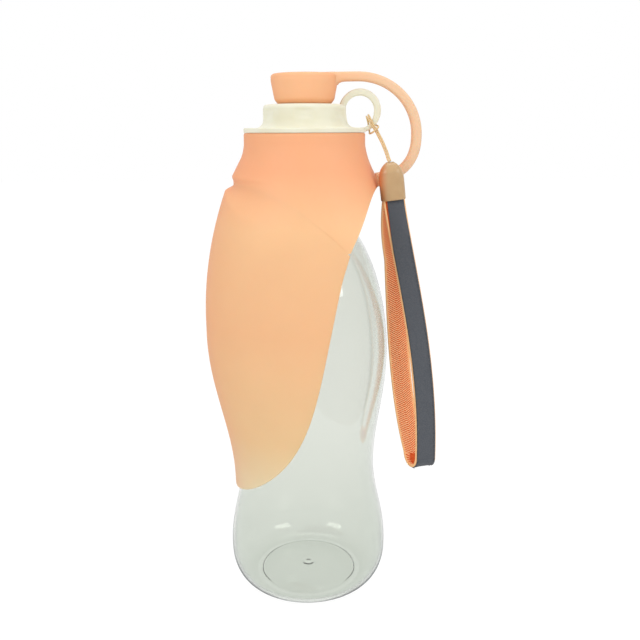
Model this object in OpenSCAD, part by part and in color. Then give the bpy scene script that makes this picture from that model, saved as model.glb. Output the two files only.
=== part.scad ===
// Travel water bottle for a dog: a squeezable clear bottle, a screw lid with a
// spout and a strap eye, a soft leaf-shaped bowl that hugs the bottle and folds
// up, a tethered stopper and a wrist strap.
// Millimetres. +Z is up, the origin is the centre of the bottle's foot,
// +X points to the strap's side and -Y to the front.

/* [Bottle] */
// Height of the bottle, foot to neck rim
bottle_h = 216.6; // [208:0.2:226]
// Diameter of the lower body
base_d = 77.4; // [72:0.2:80]
// Diameter of the waist
waist_d = 65.6; // [60:0.2:70]
// Height of the waist
waist_z = 62; // [56:1:66]
// Diameter of the belly
belly_d = 77; // [73:0.2:80]
// Height of the belly
belly_z = 118; // [112:1:122]
// Height of the shoulder dome above the belly
shoulder_h = 72; // [68:1:74]
// Thickness of the body wall
wall = 1.1; // [0.8:0.1:1.6]
// Thickness of the floor
floor_t = 1.8; // [1.2:0.1:2.4]
// Outside diameter of the standing ring
foot_d = 53; // [48:0.5:56]
// Width of the standing ring
foot_w = 3; // [2:0.5:4]
// Height of the rounded heel
heel_h = 18; // [15:1:20]
// Rise of the hollow under the foot
punt_h = 3.4; // [2.4:0.2:5]

/* [Neck and thread] */
// Outside diameter of the neck
neck_d = 40.4; // [38:0.2:42]
// Thickness of the neck wall
neck_wall = 1.7; // [1.4:0.1:2.2]
// Rise of the thread in one turn
pitch = 4; // [3.6:0.1:4.4]
// Depth of the thread ridge
thread_depth = 1.2; // [1:0.1:1.4]
// Turns of thread
thread_turns = 1.5; // [1.25:0.25:1.75]
// Thickness of the carry ring on the neck
carry_t = 1.6; // [1.2:0.2:2]

/* [Lid] */
// Clear gap around the bottle's thread in the lid
thread_gap = 0.7; // [0.5:0.1:1]
// Thickness of the lid's skirt
skirt_t = 2.7; // [2.2:0.1:3.2]
// Length of the skirt below the plate
skirt_l = 17; // [15:0.5:18]
// Thickness of the lid's plate over the neck
plate_t = 3.8; // [3.2:0.2:4.6]
// Diameter of the flange
flange_d = 54.6; // [54:0.2:58]
// Thickness of the flange
flange_t = 2.1; // [1.6:0.1:2.6]
// Diameter of the crown
crown_d = 37; // [35:0.5:38]
// Height of the crown above the flange
crown_h = 10; // [9:0.5:12]
// Wall of the crown
crown_t = 2; // [1.6:0.1:2.4]
// Depth of the grip recesses
grip_depth = 0.9; // [0.6:0.1:1.1]
// Outside diameter of the spout
spout_d = 21; // [19:0.5:21.5]
// Wall of the spout
spout_t = 1.6; // [1.2:0.1:2]
// Height of the spout above the crown
spout_h = 7.6; // [6:0.2:8]
// Inside radius of the strap eye
eye_in = 6.4; // [5.8:0.1:6.8]
// Radial width of the strap eye
eye_w = 3; // [2.6:0.1:3.4]
// Thickness of the strap eye
eye_t = 3.4; // [3:0.1:4]
// Thickness of the sealing ring
gasket_t = 1.8; // [1.4:0.1:2.2]

/* [Stopper and tether] */
// Diameter of the stopper's top
stopper_top_d = 29.6; // [28:0.2:30]
// Diameter of the stopper's lower rim
stopper_low_d = 25.8; // [25.4:0.2:26.6]
// Height of the stopper
stopper_h = 12.6; // [11.8:0.2:13.4]
// Depth of the tether band, across its bend
tether_t = 4.2; // [3.6:0.1:4.8]
// Width of the tether band
tether_w = 6; // [5:0.2:6.4]
// How far the tether arches out past its upper end
tether_reach = 26.3; // [24.5:0.1:28]

/* [Leaf bowl] */
// Thickness of the collar where it grips the lid
collar_t = 2.4; // [2:0.1:2.8]
// Height of the collar, flange to fold
collar_h = 22; // [21:0.5:24]
// Outside radius of the collar's lower rim
rim_r = 33; // [32:0.2:34]
// Thickness of the leaf
leaf_t = 1.5; // [1.2:0.1:1.8]
// Length of the leaf, fold to tip
leaf_l = 146.5; // [136:0.5:150]
// Gap between the leaf and the bottle
leaf_gap = 1; // [0.8:0.1:1.4]
// How far the leaf's back stands off the belly
pocket = 9; // [7:0.2:11]
// Height from the fold down to the corner where the leaf's front edge begins
split_drop = 27; // [24:0.5:30]

/* [Wrist strap] */
// Diameter of the cord
cord_d = 0.8; // [0.7:0.1:1.1]
// Length of the end bell
bell_l = 16.6; // [15.6:0.2:19]
// Wall of the end bell
bell_t = 0.5; // [0.4:0.1:0.8]
// Width of the webbing
web_w = 9.2; // [8.4:0.2:9.8]
// Thickness of the webbing
web_t = 1.1; // [0.9:0.1:1.2]
// Width of the facing ribbon
face_w = 8.6; // [7.4:0.2:8.8]
// Thickness of the facing ribbon
face_t = 0.5; // [0.4:0.1:0.6]
// Length of the hanging loop below the bell
loop_l = 126; // [110:0.5:135]

/* [Hidden] */

$fn = 96;
seat_gap = 0.1;      // flat faces that seat on each other
piece_gap = 0.3;     // curved faces that pass each other
glue_gap = 0.25;     // layers that are bonded in the real thing
bury = 0.4;          // depth to which a rib or ridge sinks into its wall

base_r = base_d / 2;
waist_r = waist_d / 2;
belly_r = belly_d / 2;
foot_r = foot_d / 2;
neck_r = neck_d / 2;
base_z = heel_h + 2;             // height of the widest part of the lower body
heel_power = 2.2;                // squareness of the heel's curve
shoulder_z = belly_z + shoulder_h;
profile_step = 4;

// Eases from 0 to 1 between t = 0 and t = 1.
function clamp01(t) = min(max(t, 0), 1);
function ease(t) = let (c = clamp01(t)) c * c * (3 - 2 * c);
function swing(t) = (1 - cos(180 * clamp01(t))) / 2;
function mix(a, b, t) = a + (b - a) * t;
function soft_max(a, b, k) = (a + b + sqrt((a - b) * (a - b) + k * k)) / 2;
function tanh(x) = (exp(2 * x) - 1) / (exp(2 * x) + 1);

// ---------------------------------------------------------------- bottle profile

// Radius of the shoulder dome at a height above the belly.
function dome_r(z) = belly_r * sqrt(max(0, 1 - pow((z - belly_z) / shoulder_h, 2)));
// Outside radius of the bottle between the heel and the neck.
function body_r(z) =
    z < base_z ? base_r
    : z < waist_z ? mix(base_r, waist_r, swing((z - base_z) / (waist_z - base_z)))
    : z < belly_z ? mix(waist_r, belly_r, swing((z - waist_z) / (belly_z - waist_z)))
    : soft_max(dome_r(z), neck_r, 2);
// Wall thickness: thin in the body, thicker in the neck.
function wall_at(z) = mix(wall, neck_wall, ease((z - shoulder_z + 25) / 20));

// Points of the heel's curve from the foot up, for an inner or an outer skin.
function heel_points(r0, r1, z0, z1) = [for (a = [0:7.5:90])
    [mix(r0, r1, pow(sin(a), 2 / heel_power)), mix(z1, z0, pow(cos(a), 2 / heel_power))]];
body_zs = [for (z = [heel_h + profile_step:profile_step:shoulder_z + 3]) z];
foot_in_r = foot_r - foot_w;
step_h = 0.8;                    // step at the inner edge of the standing ring
function punt_z(r) = step_h + (punt_h - step_h) * (1 - pow(r / foot_in_r, 2));
punt_rs = [for (i = [0:6]) foot_in_r - 0.4 - i * (foot_in_r - 0.4) / 6];

// One ridge of screw thread, root sunk into its wall. side is 1 outside a neck, -1 inside a lid.
thread_seg = 10;                 // degrees for each step of the helix
thread_root_w = 0.95;
thread_crest_w = 0.45;
module thread_ridge(root_r, depth, side, z0) {
    steps = thread_turns * 360 / thread_seg;
    rings = [for (i = [0:steps])
        let (a = i * thread_seg, z = z0 + pitch * a / 360,
             grow = min(1, 0.15 + min(i, steps - i) / 3),
             r0 = root_r - side * bury, r1 = root_r + side * depth * grow)
        [[r0 * cos(a), r0 * sin(a), z - thread_root_w], [r1 * cos(a), r1 * sin(a), z - thread_crest_w],
         [r1 * cos(a), r1 * sin(a), z + thread_crest_w], [r0 * cos(a), r0 * sin(a), z + thread_root_w]]];
    tube(rings, side > 0);
}

// A closed solid through rings of points; flip turns the faces round.
module tube(rings, flip = false) {
    m = len(rings[0]);
    n = len(rings);
    pts = [for (ring = rings) each ring];
    sides = [for (i = [0:n - 2], j = [0:m - 1])
        each [[i * m + j, i * m + (j + 1) % m, (i + 1) * m + j],
              [i * m + (j + 1) % m, (i + 1) * m + (j + 1) % m, (i + 1) * m + j]]];
    caps = [for (j = [1:m - 2]) each [[0, j + 1, j], [(n - 1) * m, (n - 1) * m + j, (n - 1) * m + j + 1]]];
    faces = concat(sides, caps);
    polyhedron(pts, flip ? faces : [for (f = faces) [f[2], f[1], f[0]]], convexity = 10);
}

thread_z = bottle_h - 11;        // middle of the bottle's thread at its start
carry_z = bottle_h - 20.5;       // underside of the carry ring
carry_r = neck_r + 2.6;

module bottle() {
    outer = concat([[foot_in_r, 0]], heel_points(foot_r, base_r, 0, heel_h),
        [for (z = body_zs) [body_r(z), z]],
        [[neck_r, carry_z], [carry_r, carry_z + 0.4], [carry_r, carry_z + carry_t - 0.4],
         [neck_r, carry_z + carry_t], [neck_r, bottle_h - 0.6], [neck_r - 0.5, bottle_h]]);
    inner = concat([for (i = [6:-1:0]) [punt_rs[i], punt_z(punt_rs[i]) + floor_t]],
        heel_points(foot_r - 1, base_r - wall, step_h + floor_t - 0.2, heel_h),
        [for (z = body_zs) [body_r(z) - wall_at(z), z]],
        [[neck_r - neck_wall, carry_z], [neck_r - neck_wall, bottle_h - 0.4], [neck_r - neck_wall + 0.4, bottle_h]]);
    under = [for (r = punt_rs) [r, punt_z(r)]];
    color("gainsboro", 0.4) {
        rotate_extrude() polygon(concat(
            outer, [for (i = [len(inner) - 1:-1:0]) inner[i]], [for (i = [6:-1:0]) under[i]]));
        thread_ridge(neck_r, thread_depth, 1, thread_z);
    }
}

// ---------------------------------------------------------------- lid

lid_bore_r = neck_r + thread_depth + thread_gap;
skirt_r = lid_bore_r + skirt_t;
flange_r = flange_d / 2;
crown_r = crown_d / 2;
spout_r = spout_d / 2;
ceiling_z = bottle_h + gasket_t + 2 * seat_gap;
flange_z = ceiling_z + plate_t;          // top of the flange
crown_z = flange_z + crown_h;            // top of the crown
spout_z = crown_z + spout_h;
cavity_r = crown_r - crown_t;
flare = 3.4;                             // radius of the sweep from crown to flange
lid_lead = 90;                           // the lid's thread starts this many degrees after the neck's
bead = 0.7;                              // depth of the collar's snap bead and of its groove
bead_z = flange_z - flange_t - seat_gap - 8;
eye_r = eye_in + eye_w;
eye_reach = 6.1;                 // from the crown to the eye's middle
eye_inset = 2.7;                 // keeps the hitch outside the collar's top
eye_x = max(crown_r + eye_reach, skirt_r + seat_gap + collar_t - eye_inset);
eye_z = flange_z - flange_t + eye_r;
hole_round = 2.5;                        // rounding of the hole's lower corners

module lid_gasket() {
    color("whitesmoke")
        translate([0, 0, bottle_h + seat_gap])
            difference() {
                cylinder(h = gasket_t, r = neck_r + 1.2);
                translate([0, 0, -1]) cylinder(h = gasket_t + 2, r = neck_r - neck_wall - 0.6);
            }
}

// The strap eye: a ring that stands on a tongue of the flange. Its hole is flat below.
module strap_eye() {
    drop = eye_z - flange_z;
    flat = eye_in - 0.4;
    translate([eye_x, eye_t / 2, eye_z]) rotate([90, 0, 0]) linear_extrude(eye_t)
        difference() {
            union() {
                circle(r = eye_r);
                translate([crown_r - eye_x - 1, -eye_r]) square([eye_x - crown_r + 3, eye_r - drop]);
            }
            circle(r = eye_in);
            translate([-flat, -drop + hole_round]) square([2 * flat - 1, drop - hole_round]);
            translate([-flat + hole_round, -drop]) square([2 * flat - 1 - 2 * hole_round, drop]);
            translate([-flat + hole_round, -drop + hole_round]) circle(r = hole_round);
            translate([flat - 1 - hole_round, -drop + hole_round]) circle(r = hole_round);
        }
}

grip_scoop_r = 30;               // radius of the drum that cuts a grip recess
grip_low = 3;                    // height of the recesses above the flange
grip_high = 8.6;
module lid() {
    shell = concat(
        [[cavity_r, ceiling_z], [lid_bore_r, ceiling_z], [lid_bore_r, flange_z - plate_t - skirt_l + 1],
         [lid_bore_r + 0.8, flange_z - plate_t - skirt_l], [skirt_r - 0.5, flange_z - plate_t - skirt_l],
         [skirt_r, flange_z - plate_t - skirt_l + 0.5], [skirt_r, bead_z - 1.7],
         [skirt_r - bead, bead_z - 1.1], [skirt_r - bead, bead_z + 1.1], [skirt_r, bead_z + 1.7],
         [skirt_r, flange_z - flange_t],
         [flange_r - 0.3, flange_z - flange_t], [flange_r, flange_z - flange_t + 0.3],
         [flange_r, flange_z - 0.6], [flange_r - 0.6, flange_z]],
        [for (a = [0:15:90]) [crown_r + flare * (1 - sin(a)), flange_z + flare * (1 - cos(a))]],
        [[crown_r, crown_z - 1.2], [crown_r - 0.35, crown_z - 0.35], [crown_r - 1.2, crown_z],
         [spout_r, crown_z], [spout_r, spout_z - 0.5], [spout_r - 0.5, spout_z],
         [spout_r - spout_t, spout_z], [spout_r - spout_t, crown_z - crown_t], [cavity_r, crown_z - crown_t]]);
    color("ivory") {
        difference() {
            strap_eye();
            translate([0, 0, flange_z - flange_t - 1]) cylinder(h = crown_h + flange_t + 1.5, r = crown_r - 1);
            translate([0, 0, crown_z - 1]) cylinder(h = spout_h, r = stopper_low_d / 2 + 1);
        }
        difference() {
            rotate_extrude() polygon(shell);
            for (k = [0:5]) rotate(k * 60 - 90)
                translate([crown_r - grip_depth + grip_scoop_r, 0, flange_z])
                    rotate_extrude() polygon([[0, grip_low], [grip_scoop_r - grip_depth, grip_low],
                        [grip_scoop_r, grip_low + 1.2], [grip_scoop_r, grip_high - 1.2],
                        [grip_scoop_r - grip_depth, grip_high], [0, grip_high]]);
        }
        rotate(lid_lead)
            thread_ridge(lid_bore_r, thread_depth, -1, thread_z + pitch * (lid_lead / 360 - 0.5));
    }
}

// ---------------------------------------------------------------- stopper

stopper_z = crown_z + piece_gap;
stopper_top_r = stopper_top_d / 2;
stopper_low_r = stopper_low_d / 2;
stopper_top_z = stopper_z + stopper_h;
plug_gap = 0.1;
plug_depth = 5.6;                // how far the plug reaches into the spout
module stopper() {
    plug_r = spout_r - spout_t - plug_gap;
    roof_z = spout_z + piece_gap;
    color("sandybrown") rotate_extrude() polygon([
        [0, roof_z - plug_depth], [plug_r - 0.8, roof_z - plug_depth], [plug_r, roof_z - plug_depth + 1],
        [plug_r, roof_z], [spout_r + plug_gap, roof_z], [spout_r + plug_gap, stopper_z],
        [stopper_low_r - 1, stopper_z], [stopper_low_r - 0.3, stopper_z + 0.3], [stopper_low_r, stopper_z + 1.1],
        [mix(stopper_low_r, stopper_top_r, 0.8), stopper_top_z - 4], [stopper_top_r, stopper_top_z - 2.2],
        [stopper_top_r - 0.5, stopper_top_z - 0.7], [stopper_top_r - 2, stopper_top_z], [0, stopper_top_z]]);
}

// ---------------------------------------------------------------- collar and leaf

collar_z = flange_z - flange_t - seat_gap;       // top of the collar
fold_z = collar_z - collar_h;                    // height of the fold at the leaf's back
tip_z = fold_z - leaf_l;
collar_in_r = skirt_r + seat_gap;
corner_z = fold_z - split_drop;                  // where the fold meets the leaf's front edge
half_w = belly_r + leaf_gap + leaf_t;            // half width of the leaf, outside
full_z = corner_z - 3;                           // height below which the leaf is full width

// Side view of the leaf's front edge: how far it reaches in X at a height.
edge_swing = 31.6;
edge_fade = 26.5;
edge_round = 0.86;               // below 1: fuller next to the tip
edge_lean = 0.191;
edge_kick = 0.6;                 // how far the edge swings forward again at the corner
function front_x(z) = let (u = z - tip_z) -body_r(tip_z) - leaf_gap - leaf_t
    + edge_swing * pow(tanh(max(0, u) / edge_fade), edge_round) + edge_lean * u + edge_kick * ease((z - corner_z + 16) / 16);
fold_bend = split_drop / pow(rim_r + front_x(corner_z), 2);

// Half width of the silicone in Y at a height, outside.
function half_y(z) =
    z > fold_z + 2 ? collar_out_r(z)
    : z > full_z ? mix(half_w, collar_out_r(fold_z + 2), pow((z - full_z) / (fold_z + 2 - full_z), 2))
    : min(half_w, z < belly_z ? body_r(z) + leaf_gap + leaf_t : half_w);
function collar_out_r(z) = collar_in_r + collar_t
    + (rim_r - collar_in_r - collar_t) * pow(max(0, (collar_z - 4 - z) / (collar_h - 6)), 2);
// How far the leaf's back stands out in -X at a height.
back_max = belly_r + pocket;
function back_x(z) = z > belly_z + 17
    ? back_max - (back_max - rim_r - 3) * pow((z - belly_z - 17) / (fold_z - 2 - belly_z - 17), 2)
    : mix(back_max, body_r(tip_z) + leaf_gap + leaf_t, swing((belly_z + 11 - z) / (belly_z + 11 - tip_z - 1)));
// Height of the fold line where the section reaches x.
function fold_at(x) = fold_z - fold_bend * pow(max(0, x + rim_r), 2);

// A point of a section: w runs 0 at the back, 90 at the front, 180 opposite the back.
// out is the reach in -X, half the half width, arm how straight the open side runs.
function section(w, z, out, half, arm) = w <= 90
    ? [-out * cos(w), half * sin(w), z]
    : [mix(-half * cos(w), half * (w - 90) * PI / 180, arm), mix(half * sin(w), half, arm), z];
function arm_at(z) = 1 - ease((z - full_z) / (fold_z - full_z));
w_corner = 90 + front_x(corner_z) / half_w * 180 / PI;

// Lower edge of the collar: the fold line as far as the leaf's corner, then the cut edge.
function fold_x(w) = w <= 90 ? -rim_r * cos(w) : half_w * (w - 90) * PI / 180;
edge_curl = 3.2;
rim_z = fold_z - 1.2;
function collar_low(w) = w < w_corner ? fold_at(fold_x(w))
    : rim_z - (rim_z - corner_z) * pow((180 - w) / (180 - w_corner), edge_curl);

// Rows of the collar, top down: fixed heights at the bead, then shares of the way to its lower edge.
bead_rows = [[collar_z, 0], [bead_z + 1.4, 0], [bead_z + 0.9, bead], [bead_z - 0.9, bead], [bead_z - 1.4, 0],
    [collar_z - 13, 0]];
collar_rows = 9;
collar_seg = 5;
function collar_point(w, j, inside) =
    let (k = j - len(bead_rows) + 1, z0 = collar_z - 13,
         z = k <= 0 ? bead_rows[j][0] : mix(z0, collar_low(min(w, 360 - w)) + piece_gap / 2, k / collar_rows),
         v = min(w, 360 - w),
         t = inside ? (k <= 0 ? collar_t + bead_rows[j][1] : mix(collar_t, leaf_t, k / collar_rows)) : 0,
         arm = w_corner < 180 ? arm_at(z) * ease((180 - v) / (180 - w_corner)) : 0,
         half = half_y(z), p = section(v, z, half - t, half - t, arm))
    [p[0], w > 180 ? p[1] : -p[1], p[2]];

module bowl_collar() {
    n = 360 / collar_seg;
    rows = len(bead_rows) + collar_rows;
    outer = [for (j = [0:rows - 1]) [for (i = [0:n - 1]) collar_point(i * collar_seg, j, false)]];
    inner = [for (j = [rows - 1:-1:0]) [for (i = [0:n - 1]) collar_point(i * collar_seg, j, true)]];
    color("sandybrown") ring_shell(concat(outer, inner));
}

// A closed shell from rings of points that join up first to last.
module ring_shell(rings) {
    m = len(rings[0]);
    n = len(rings);
    polyhedron([for (ring = rings) each ring],
        [for (i = [0:n - 1], j = [0:m - 1])
            each [[i * m + j, ((i + 1) % n) * m + j, i * m + (j + 1) % m],
                  [i * m + (j + 1) % m, ((i + 1) % n) * m + j, ((i + 1) % n) * m + (j + 1) % m]]],
        convexity = 10);
}

// The leaf, fold to tip: rows climb from the tip, columns cross from edge to edge.
leaf_rows = 30;
leaf_cols = 34;
tip_w = 12;                      // half width of the blunt tip, in degrees of its section
edge_t = 0.6;                    // share of the thickness left at the edges
function leaf_edge_w(z) = let (x = front_x(z))
    x < 0 ? max(tip_w, acos(clamp01(-x / back_x(z)))) : 90 + x / half_y(z) * 180 / PI;
function leaf_point(s, row, inside) =
    let (t = row / leaf_rows,
         z0 = mix(tip_z + 0.9, corner_z, pow(t, 1.35)),
         w = s * leaf_edge_w(z0), v = abs(w),
         top = fold_at(fold_x(min(v, w_corner))) - piece_gap / 2,
         tip_drop = 0.9 * (1 - pow(s, 2)) * (1 - ease(t * 8)),
         z = z0 + (top - corner_z) * pow(t, 3) - tip_drop,
         near = ease((top - z) / 3.2),
         out = mix(half_y(z) + 0.2, back_x(z), near),
         thick = leaf_t * mix(edge_t, 1, ease(min((1 - abs(s)) * 9, t * 12 + 0.2))),
         d = inside ? thick : 0,
         p = section(v, z, out - d, half_y(z) - d, 1))
    [p[0], w < 0 ? -p[1] : p[1], p[2]];

module leaf_bowl() {
    cols = [for (i = [0:leaf_cols]) -1 + 2 * i / leaf_cols];
    rings = [for (row = [0:leaf_rows])
        concat([for (s = cols) leaf_point(s, row, false)],
            [for (i = [leaf_cols:-1:0]) leaf_point(cols[i], row, true)])];
    m = len(rings[0]);
    sides = [for (i = [0:leaf_rows - 1], j = [0:m - 1])
        each [[i * m + j, i * m + (j + 1) % m, (i + 1) * m + j],
              [i * m + (j + 1) % m, (i + 1) * m + (j + 1) % m, (i + 1) * m + j]]];
    caps = [for (e = [0, leaf_rows], j = [0:leaf_cols - 1])
        let (a = e * m + j, b = e * m + j + 1, c = e * m + m - 2 - j, d = e * m + m - 1 - j)
        each e == 0 ? [[a, d, b], [b, d, c]] : [[a, b, d], [b, c, d]]];
    color("sandybrown") polyhedron([for (ring = rings) each ring], concat(sides, caps), convexity = 10);
}

// ---------------------------------------------------------------- tether

tether_x = eye_x - 0.8;                          // X where the arch starts to fall
tether_z = stopper_top_z - tether_t / 2 + 1;     // middle of the band at the arch's top
low_square = 0.81;                               // below 1: the arch's lower half fills out
tether_end = acos(pow(clamp01((rim_r + 0.2 - tether_x) / tether_reach), 1 / low_square));
tether_fall = tether_z - rim_z - tether_t / 2 - 0.3;
tether_up = 0.558 * tether_fall;
tether_low = (tether_fall - tether_up) / pow(sin(tether_end), low_square);
tether_arc_z = tether_z - tether_up;
tether_steps = 26;
function tether_frame(i) = i < 4
    ? [mix(stopper_top_r - 1.5, tether_x, i / 4), mix(tether_z - 0.9, tether_z, ease(i / 3)), 90]
    : let (a = mix(90, -tether_end, (i - 4) / (tether_steps - 4)), low = a < 0,
           power = low ? low_square : 1, drop = low ? tether_low : tether_up,
           c = pow(max(cos(a), 0), power), s = sign(a) * pow(abs(sin(a)), power))
        [tether_x + tether_reach * c, tether_arc_z + drop * s,
         atan2(sign(s) * pow(abs(s), 2 / power - 1) * tether_reach, pow(c, 2 / power - 1) * drop)];
function band_section(t, w) = [for (a = [15:30:345])
    [t / 2 * sign(cos(a)) * pow(abs(cos(a)), 0.55), w / 2 * sign(sin(a)) * pow(abs(sin(a)), 0.55)]];

module tether() {
    rings = [for (i = [0:tether_steps]) let (f = tether_frame(i))
        [for (p = band_section(tether_t, tether_w))
            [f[0] + p[0] * cos(f[2]), p[1], f[1] + p[0] * sin(f[2])]]];
    color("sandybrown") difference() {
        tube(rings, true);
        translate([0, 0, stopper_z]) cylinder(h = stopper_h + 4, r = stopper_top_r + piece_gap);
    }
}

// ---------------------------------------------------------------- wrist cord

// The cord's route by the eye: distance from the eye's centre along the line down to
// the bell, sideways offset, and Y. It runs up one strand, round the eye and back.
hitch_angle = -50;
strand = 0.42;                   // half the spacing of the two strands
route_up = [
    [24.7, -4.4, -13.4], [23.3, -3.9, -12.5], [21.0, -2.9, -10.9], [17.0, -1.5, -8.1],
    [14.0, -0.7, -5.5], [11.2, 0, -3.0], [8.5, 0.3, -2.5], [6.6, 0.7, -2.4], [5.6, 0.9, -2.1],
    [4.5, 1.1, -1.3], [3.9, 1.2, 0], [4.5, 1.1, 1.3], [5.6, 0.8, 2.1], [7.0, 0.4, 2.4], [8.8, 0, 2.4],
    [9.7, -0.2, 2.1], [10.1, -0.3, 1.5], [10.3, -0.4, 0.2], [10.5, -0.5, -1.4], [10.7, -0.4, -3.1],
    [10.8, -0.2, -4.0]];
route_side = [0.46, 0.46, 0.45, strand, strand, strand, strand, 0.44, 0.46, 0.5, 0.52,
    0.56, 0.7, 1.0, 1.6, 2.0, 2.2, 2.4, 2.4, 2.0, 1.0];
route_bar = [10.8, 0, -4.15];
function route_point(p, side) = let (t = p[1] + side)
    [eye_x + p[0] * cos(hitch_angle) - t * sin(hitch_angle), p[2],
     eye_z + p[0] * sin(hitch_angle) + t * cos(hitch_angle)];
last = len(route_up) - 1;
route = concat([for (i = [0:last]) route_point(route_up[i], -route_side[i])],
    [route_point(route_bar, 0)],
    [for (i = [last:-1:0]) route_point(route_up[i], route_side[i])]);

function unit(v) = v / norm(v);
function along(path, i) = unit(path[min(i + 1, len(path) - 1)] - path[max(i - 1, 0)]);
// Frames carried along a path without twist: each is [tangent, side].
function carried(path, i, side) = let (t = along(path, i)) unit(side - (side * t) * t);
function frames(path, i = 0, side = [0, 1, 0]) = i == len(path) ? []
    : let (s = carried(path, i, side)) concat([[along(path, i), s]], frames(path, i + 1, s));
module round_tube(path, d, sides = 8) {
    fr = frames(path);
    tube([for (i = [0:len(path) - 1]) let (t = fr[i][0], s = fr[i][1], n = cross(t, s))
        [for (k = [0:sides - 1]) let (a = k * 360 / sides)
            path[i] + d / 2 * (cos(a) * s + sin(a) * n)]], true);
}
module wrist_cord() {
    color("burlywood") round_tube(route, cord_d);
}

// ---------------------------------------------------------------- end bell and knot

bell_lean = 6.8;                   // degrees by which the bell leans out
leg_gap_top = 1.15;              // half the spacing of the strap's legs at the bell
leg_room = 0.3;                  // room for the strap's edges in the bell
pack_room = 1.2;                 // room for the strap's thickness in the bell
bell_r = norm([web_w / 2 + leg_room, leg_gap_top + web_t / 2]) + bell_t;
bell_half = leg_gap_top + web_t / 2 + glue_gap + face_t + pack_room + bell_t;
bell_top = [eye_x + 12.5, -13.4, eye_z - 21.7];
module on_bell() {
    translate(bell_top) rotate([0, -bell_lean, 0]) children();
}
bell_dome = 7.4;                 // height of the bell's rounded top
bell_mouth_r = 1.5;
cavity_s = 3.2;                  // depth of the bell's hollow below its top
module bell_shape(r, top, low, half, crown) {
    intersection() {
        rotate_extrude() polygon(concat([[0, -top]],
            [for (a = [15:15:90]) [(r - 0.15) * sin(a), -top - crown * (1 - cos(a))]],
            [[r, low], [0, low]]));
        translate([-r - 1, -half, low - 1]) cube([2 * r + 2, 2 * half, -low + 2]);
    }
}
module strap_bell() {
    color("tan") on_bell() difference() {
        bell_shape(bell_r, 0, -bell_l, bell_half, bell_dome);
        bell_shape(bell_r - bell_t, cavity_s, -bell_l - 0.5, bell_half - bell_t, bell_dome - 2.5);
        translate([0, 0, -cavity_s - 2]) cylinder(h = cavity_s + 3, r = bell_mouth_r, $fn = 32);
    }
}
knot_r = 2.2;
module cord_knot() {
    color("burlywood") on_bell() {
        rotate_extrude($fn = 32) polygon([for (a = [-90:15:90])
            [knot_r * cos(a), -cavity_s - knot_r - piece_gap + knot_r * sin(a)]]);
        for (s = [-1, 1]) translate([s * strand, 0, -cavity_s - knot_r])
            cylinder(h = cavity_s + knot_r - 1, r = cord_d / 2, $fn = 32);
    }
}

// ---------------------------------------------------------------- strap

leg_steps = 26;
web_tail = 6.5;                  // length of the webbing's ends inside the bell
front_out = 17.1;                // how far the front leg bows out by the loop's end
back_out = 12.5;
back_dip = 1;                    // how far the back leg first swings in
strap_tilt = 9;                  // degrees by which the loop's end hangs askew
gap_low = 4.5;                   // half the spacing of the legs further down
leg_shift = 0.1;                 // the legs leave the bell this far apart sideways
bell_foot = [bell_top[0] + bell_l * sin(bell_lean), bell_top[1], bell_top[2] - bell_l * cos(bell_lean)];
belly_push = belly_r - 38.5;     // keeps the legs outside a wider belly
function leg_gap(s) = leg_gap_top + (gap_low - leg_gap_top) * ease(s / 0.55);
function leg_z(s) = bell_foot[2] - s * (loop_l - gap_low);
function front_leg(s) = [bell_foot[0] + leg_shift + front_out * pow(sin(90 * s), 1.12) + belly_push * ease(s * 2),
    bell_foot[1] - leg_gap(s), leg_z(s)];
function back_leg(s) = [bell_foot[0] - leg_shift + back_out * mix(pow(s, 4.2), s, 0.53)
    - back_dip * sin(180 * clamp01(s / 0.22)) + belly_push * ease(s * 2),
    bell_foot[1] + leg_gap(s), leg_z(s)];
function leg_tail(p, side) = p - web_tail * [sin(bell_lean), 0, -cos(bell_lean)];
fold_mid = (front_leg(1) + back_leg(1)) / 2;
strap_path = concat([leg_tail(front_leg(0))], [for (i = [0:leg_steps]) front_leg(i / leg_steps)],
    [for (a = [15:15:165]) fold_mid + [(front_leg(1)[0] - fold_mid[0]) * cos(a),
        -gap_low * cos(a), -gap_low * sin(a)]],
    [for (i = [leg_steps:-1:0]) back_leg(i / leg_steps)], [leg_tail(back_leg(0))]);

// A flat band along the strap's path. offset moves it outwards, pinch is the share of its
// width that is left at the bell.
module band(w, t, offset, pinch = 1) {
    n = len(strap_path) - 1;
    tube([for (i = [0:n])
        let (p = strap_path[i], d = along(strap_path, i), x = [cos(strap_tilt), 0, sin(strap_tilt)],
             side = unit(x - (x * d) * d), out = cross(d, side),
             half = w / 2 * mix(pinch, 1, ease((min(i, n - i) - 1) / 5)))
        [p + side * half + out * (offset - t / 2), p + side * half + out * (offset + t / 2),
         p - side * half + out * (offset + t / 2), p - side * half + out * (offset - t / 2)]]);
}
module strap_webbing() {
    color("coral") band(web_w, web_t, 0);
}
module strap_facing() {
    color("dimgray") band(face_w, face_t, (web_t + face_t) / 2 + glue_gap, 0.85);
}

bottle();
lid_gasket();
lid();
bowl_collar();
leaf_bowl();
tether();
stopper();
wrist_cord();
cord_knot();
strap_bell();
strap_webbing();
strap_facing();
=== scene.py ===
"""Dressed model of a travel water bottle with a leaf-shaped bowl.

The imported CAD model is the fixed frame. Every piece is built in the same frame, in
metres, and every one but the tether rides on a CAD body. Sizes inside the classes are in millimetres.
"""

import logging
import math
from dataclasses import dataclass
from enum import Enum
from typing import Callable, Optional, Sequence

import bmesh
import bpy
from mathutils import Matrix, Vector


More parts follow.
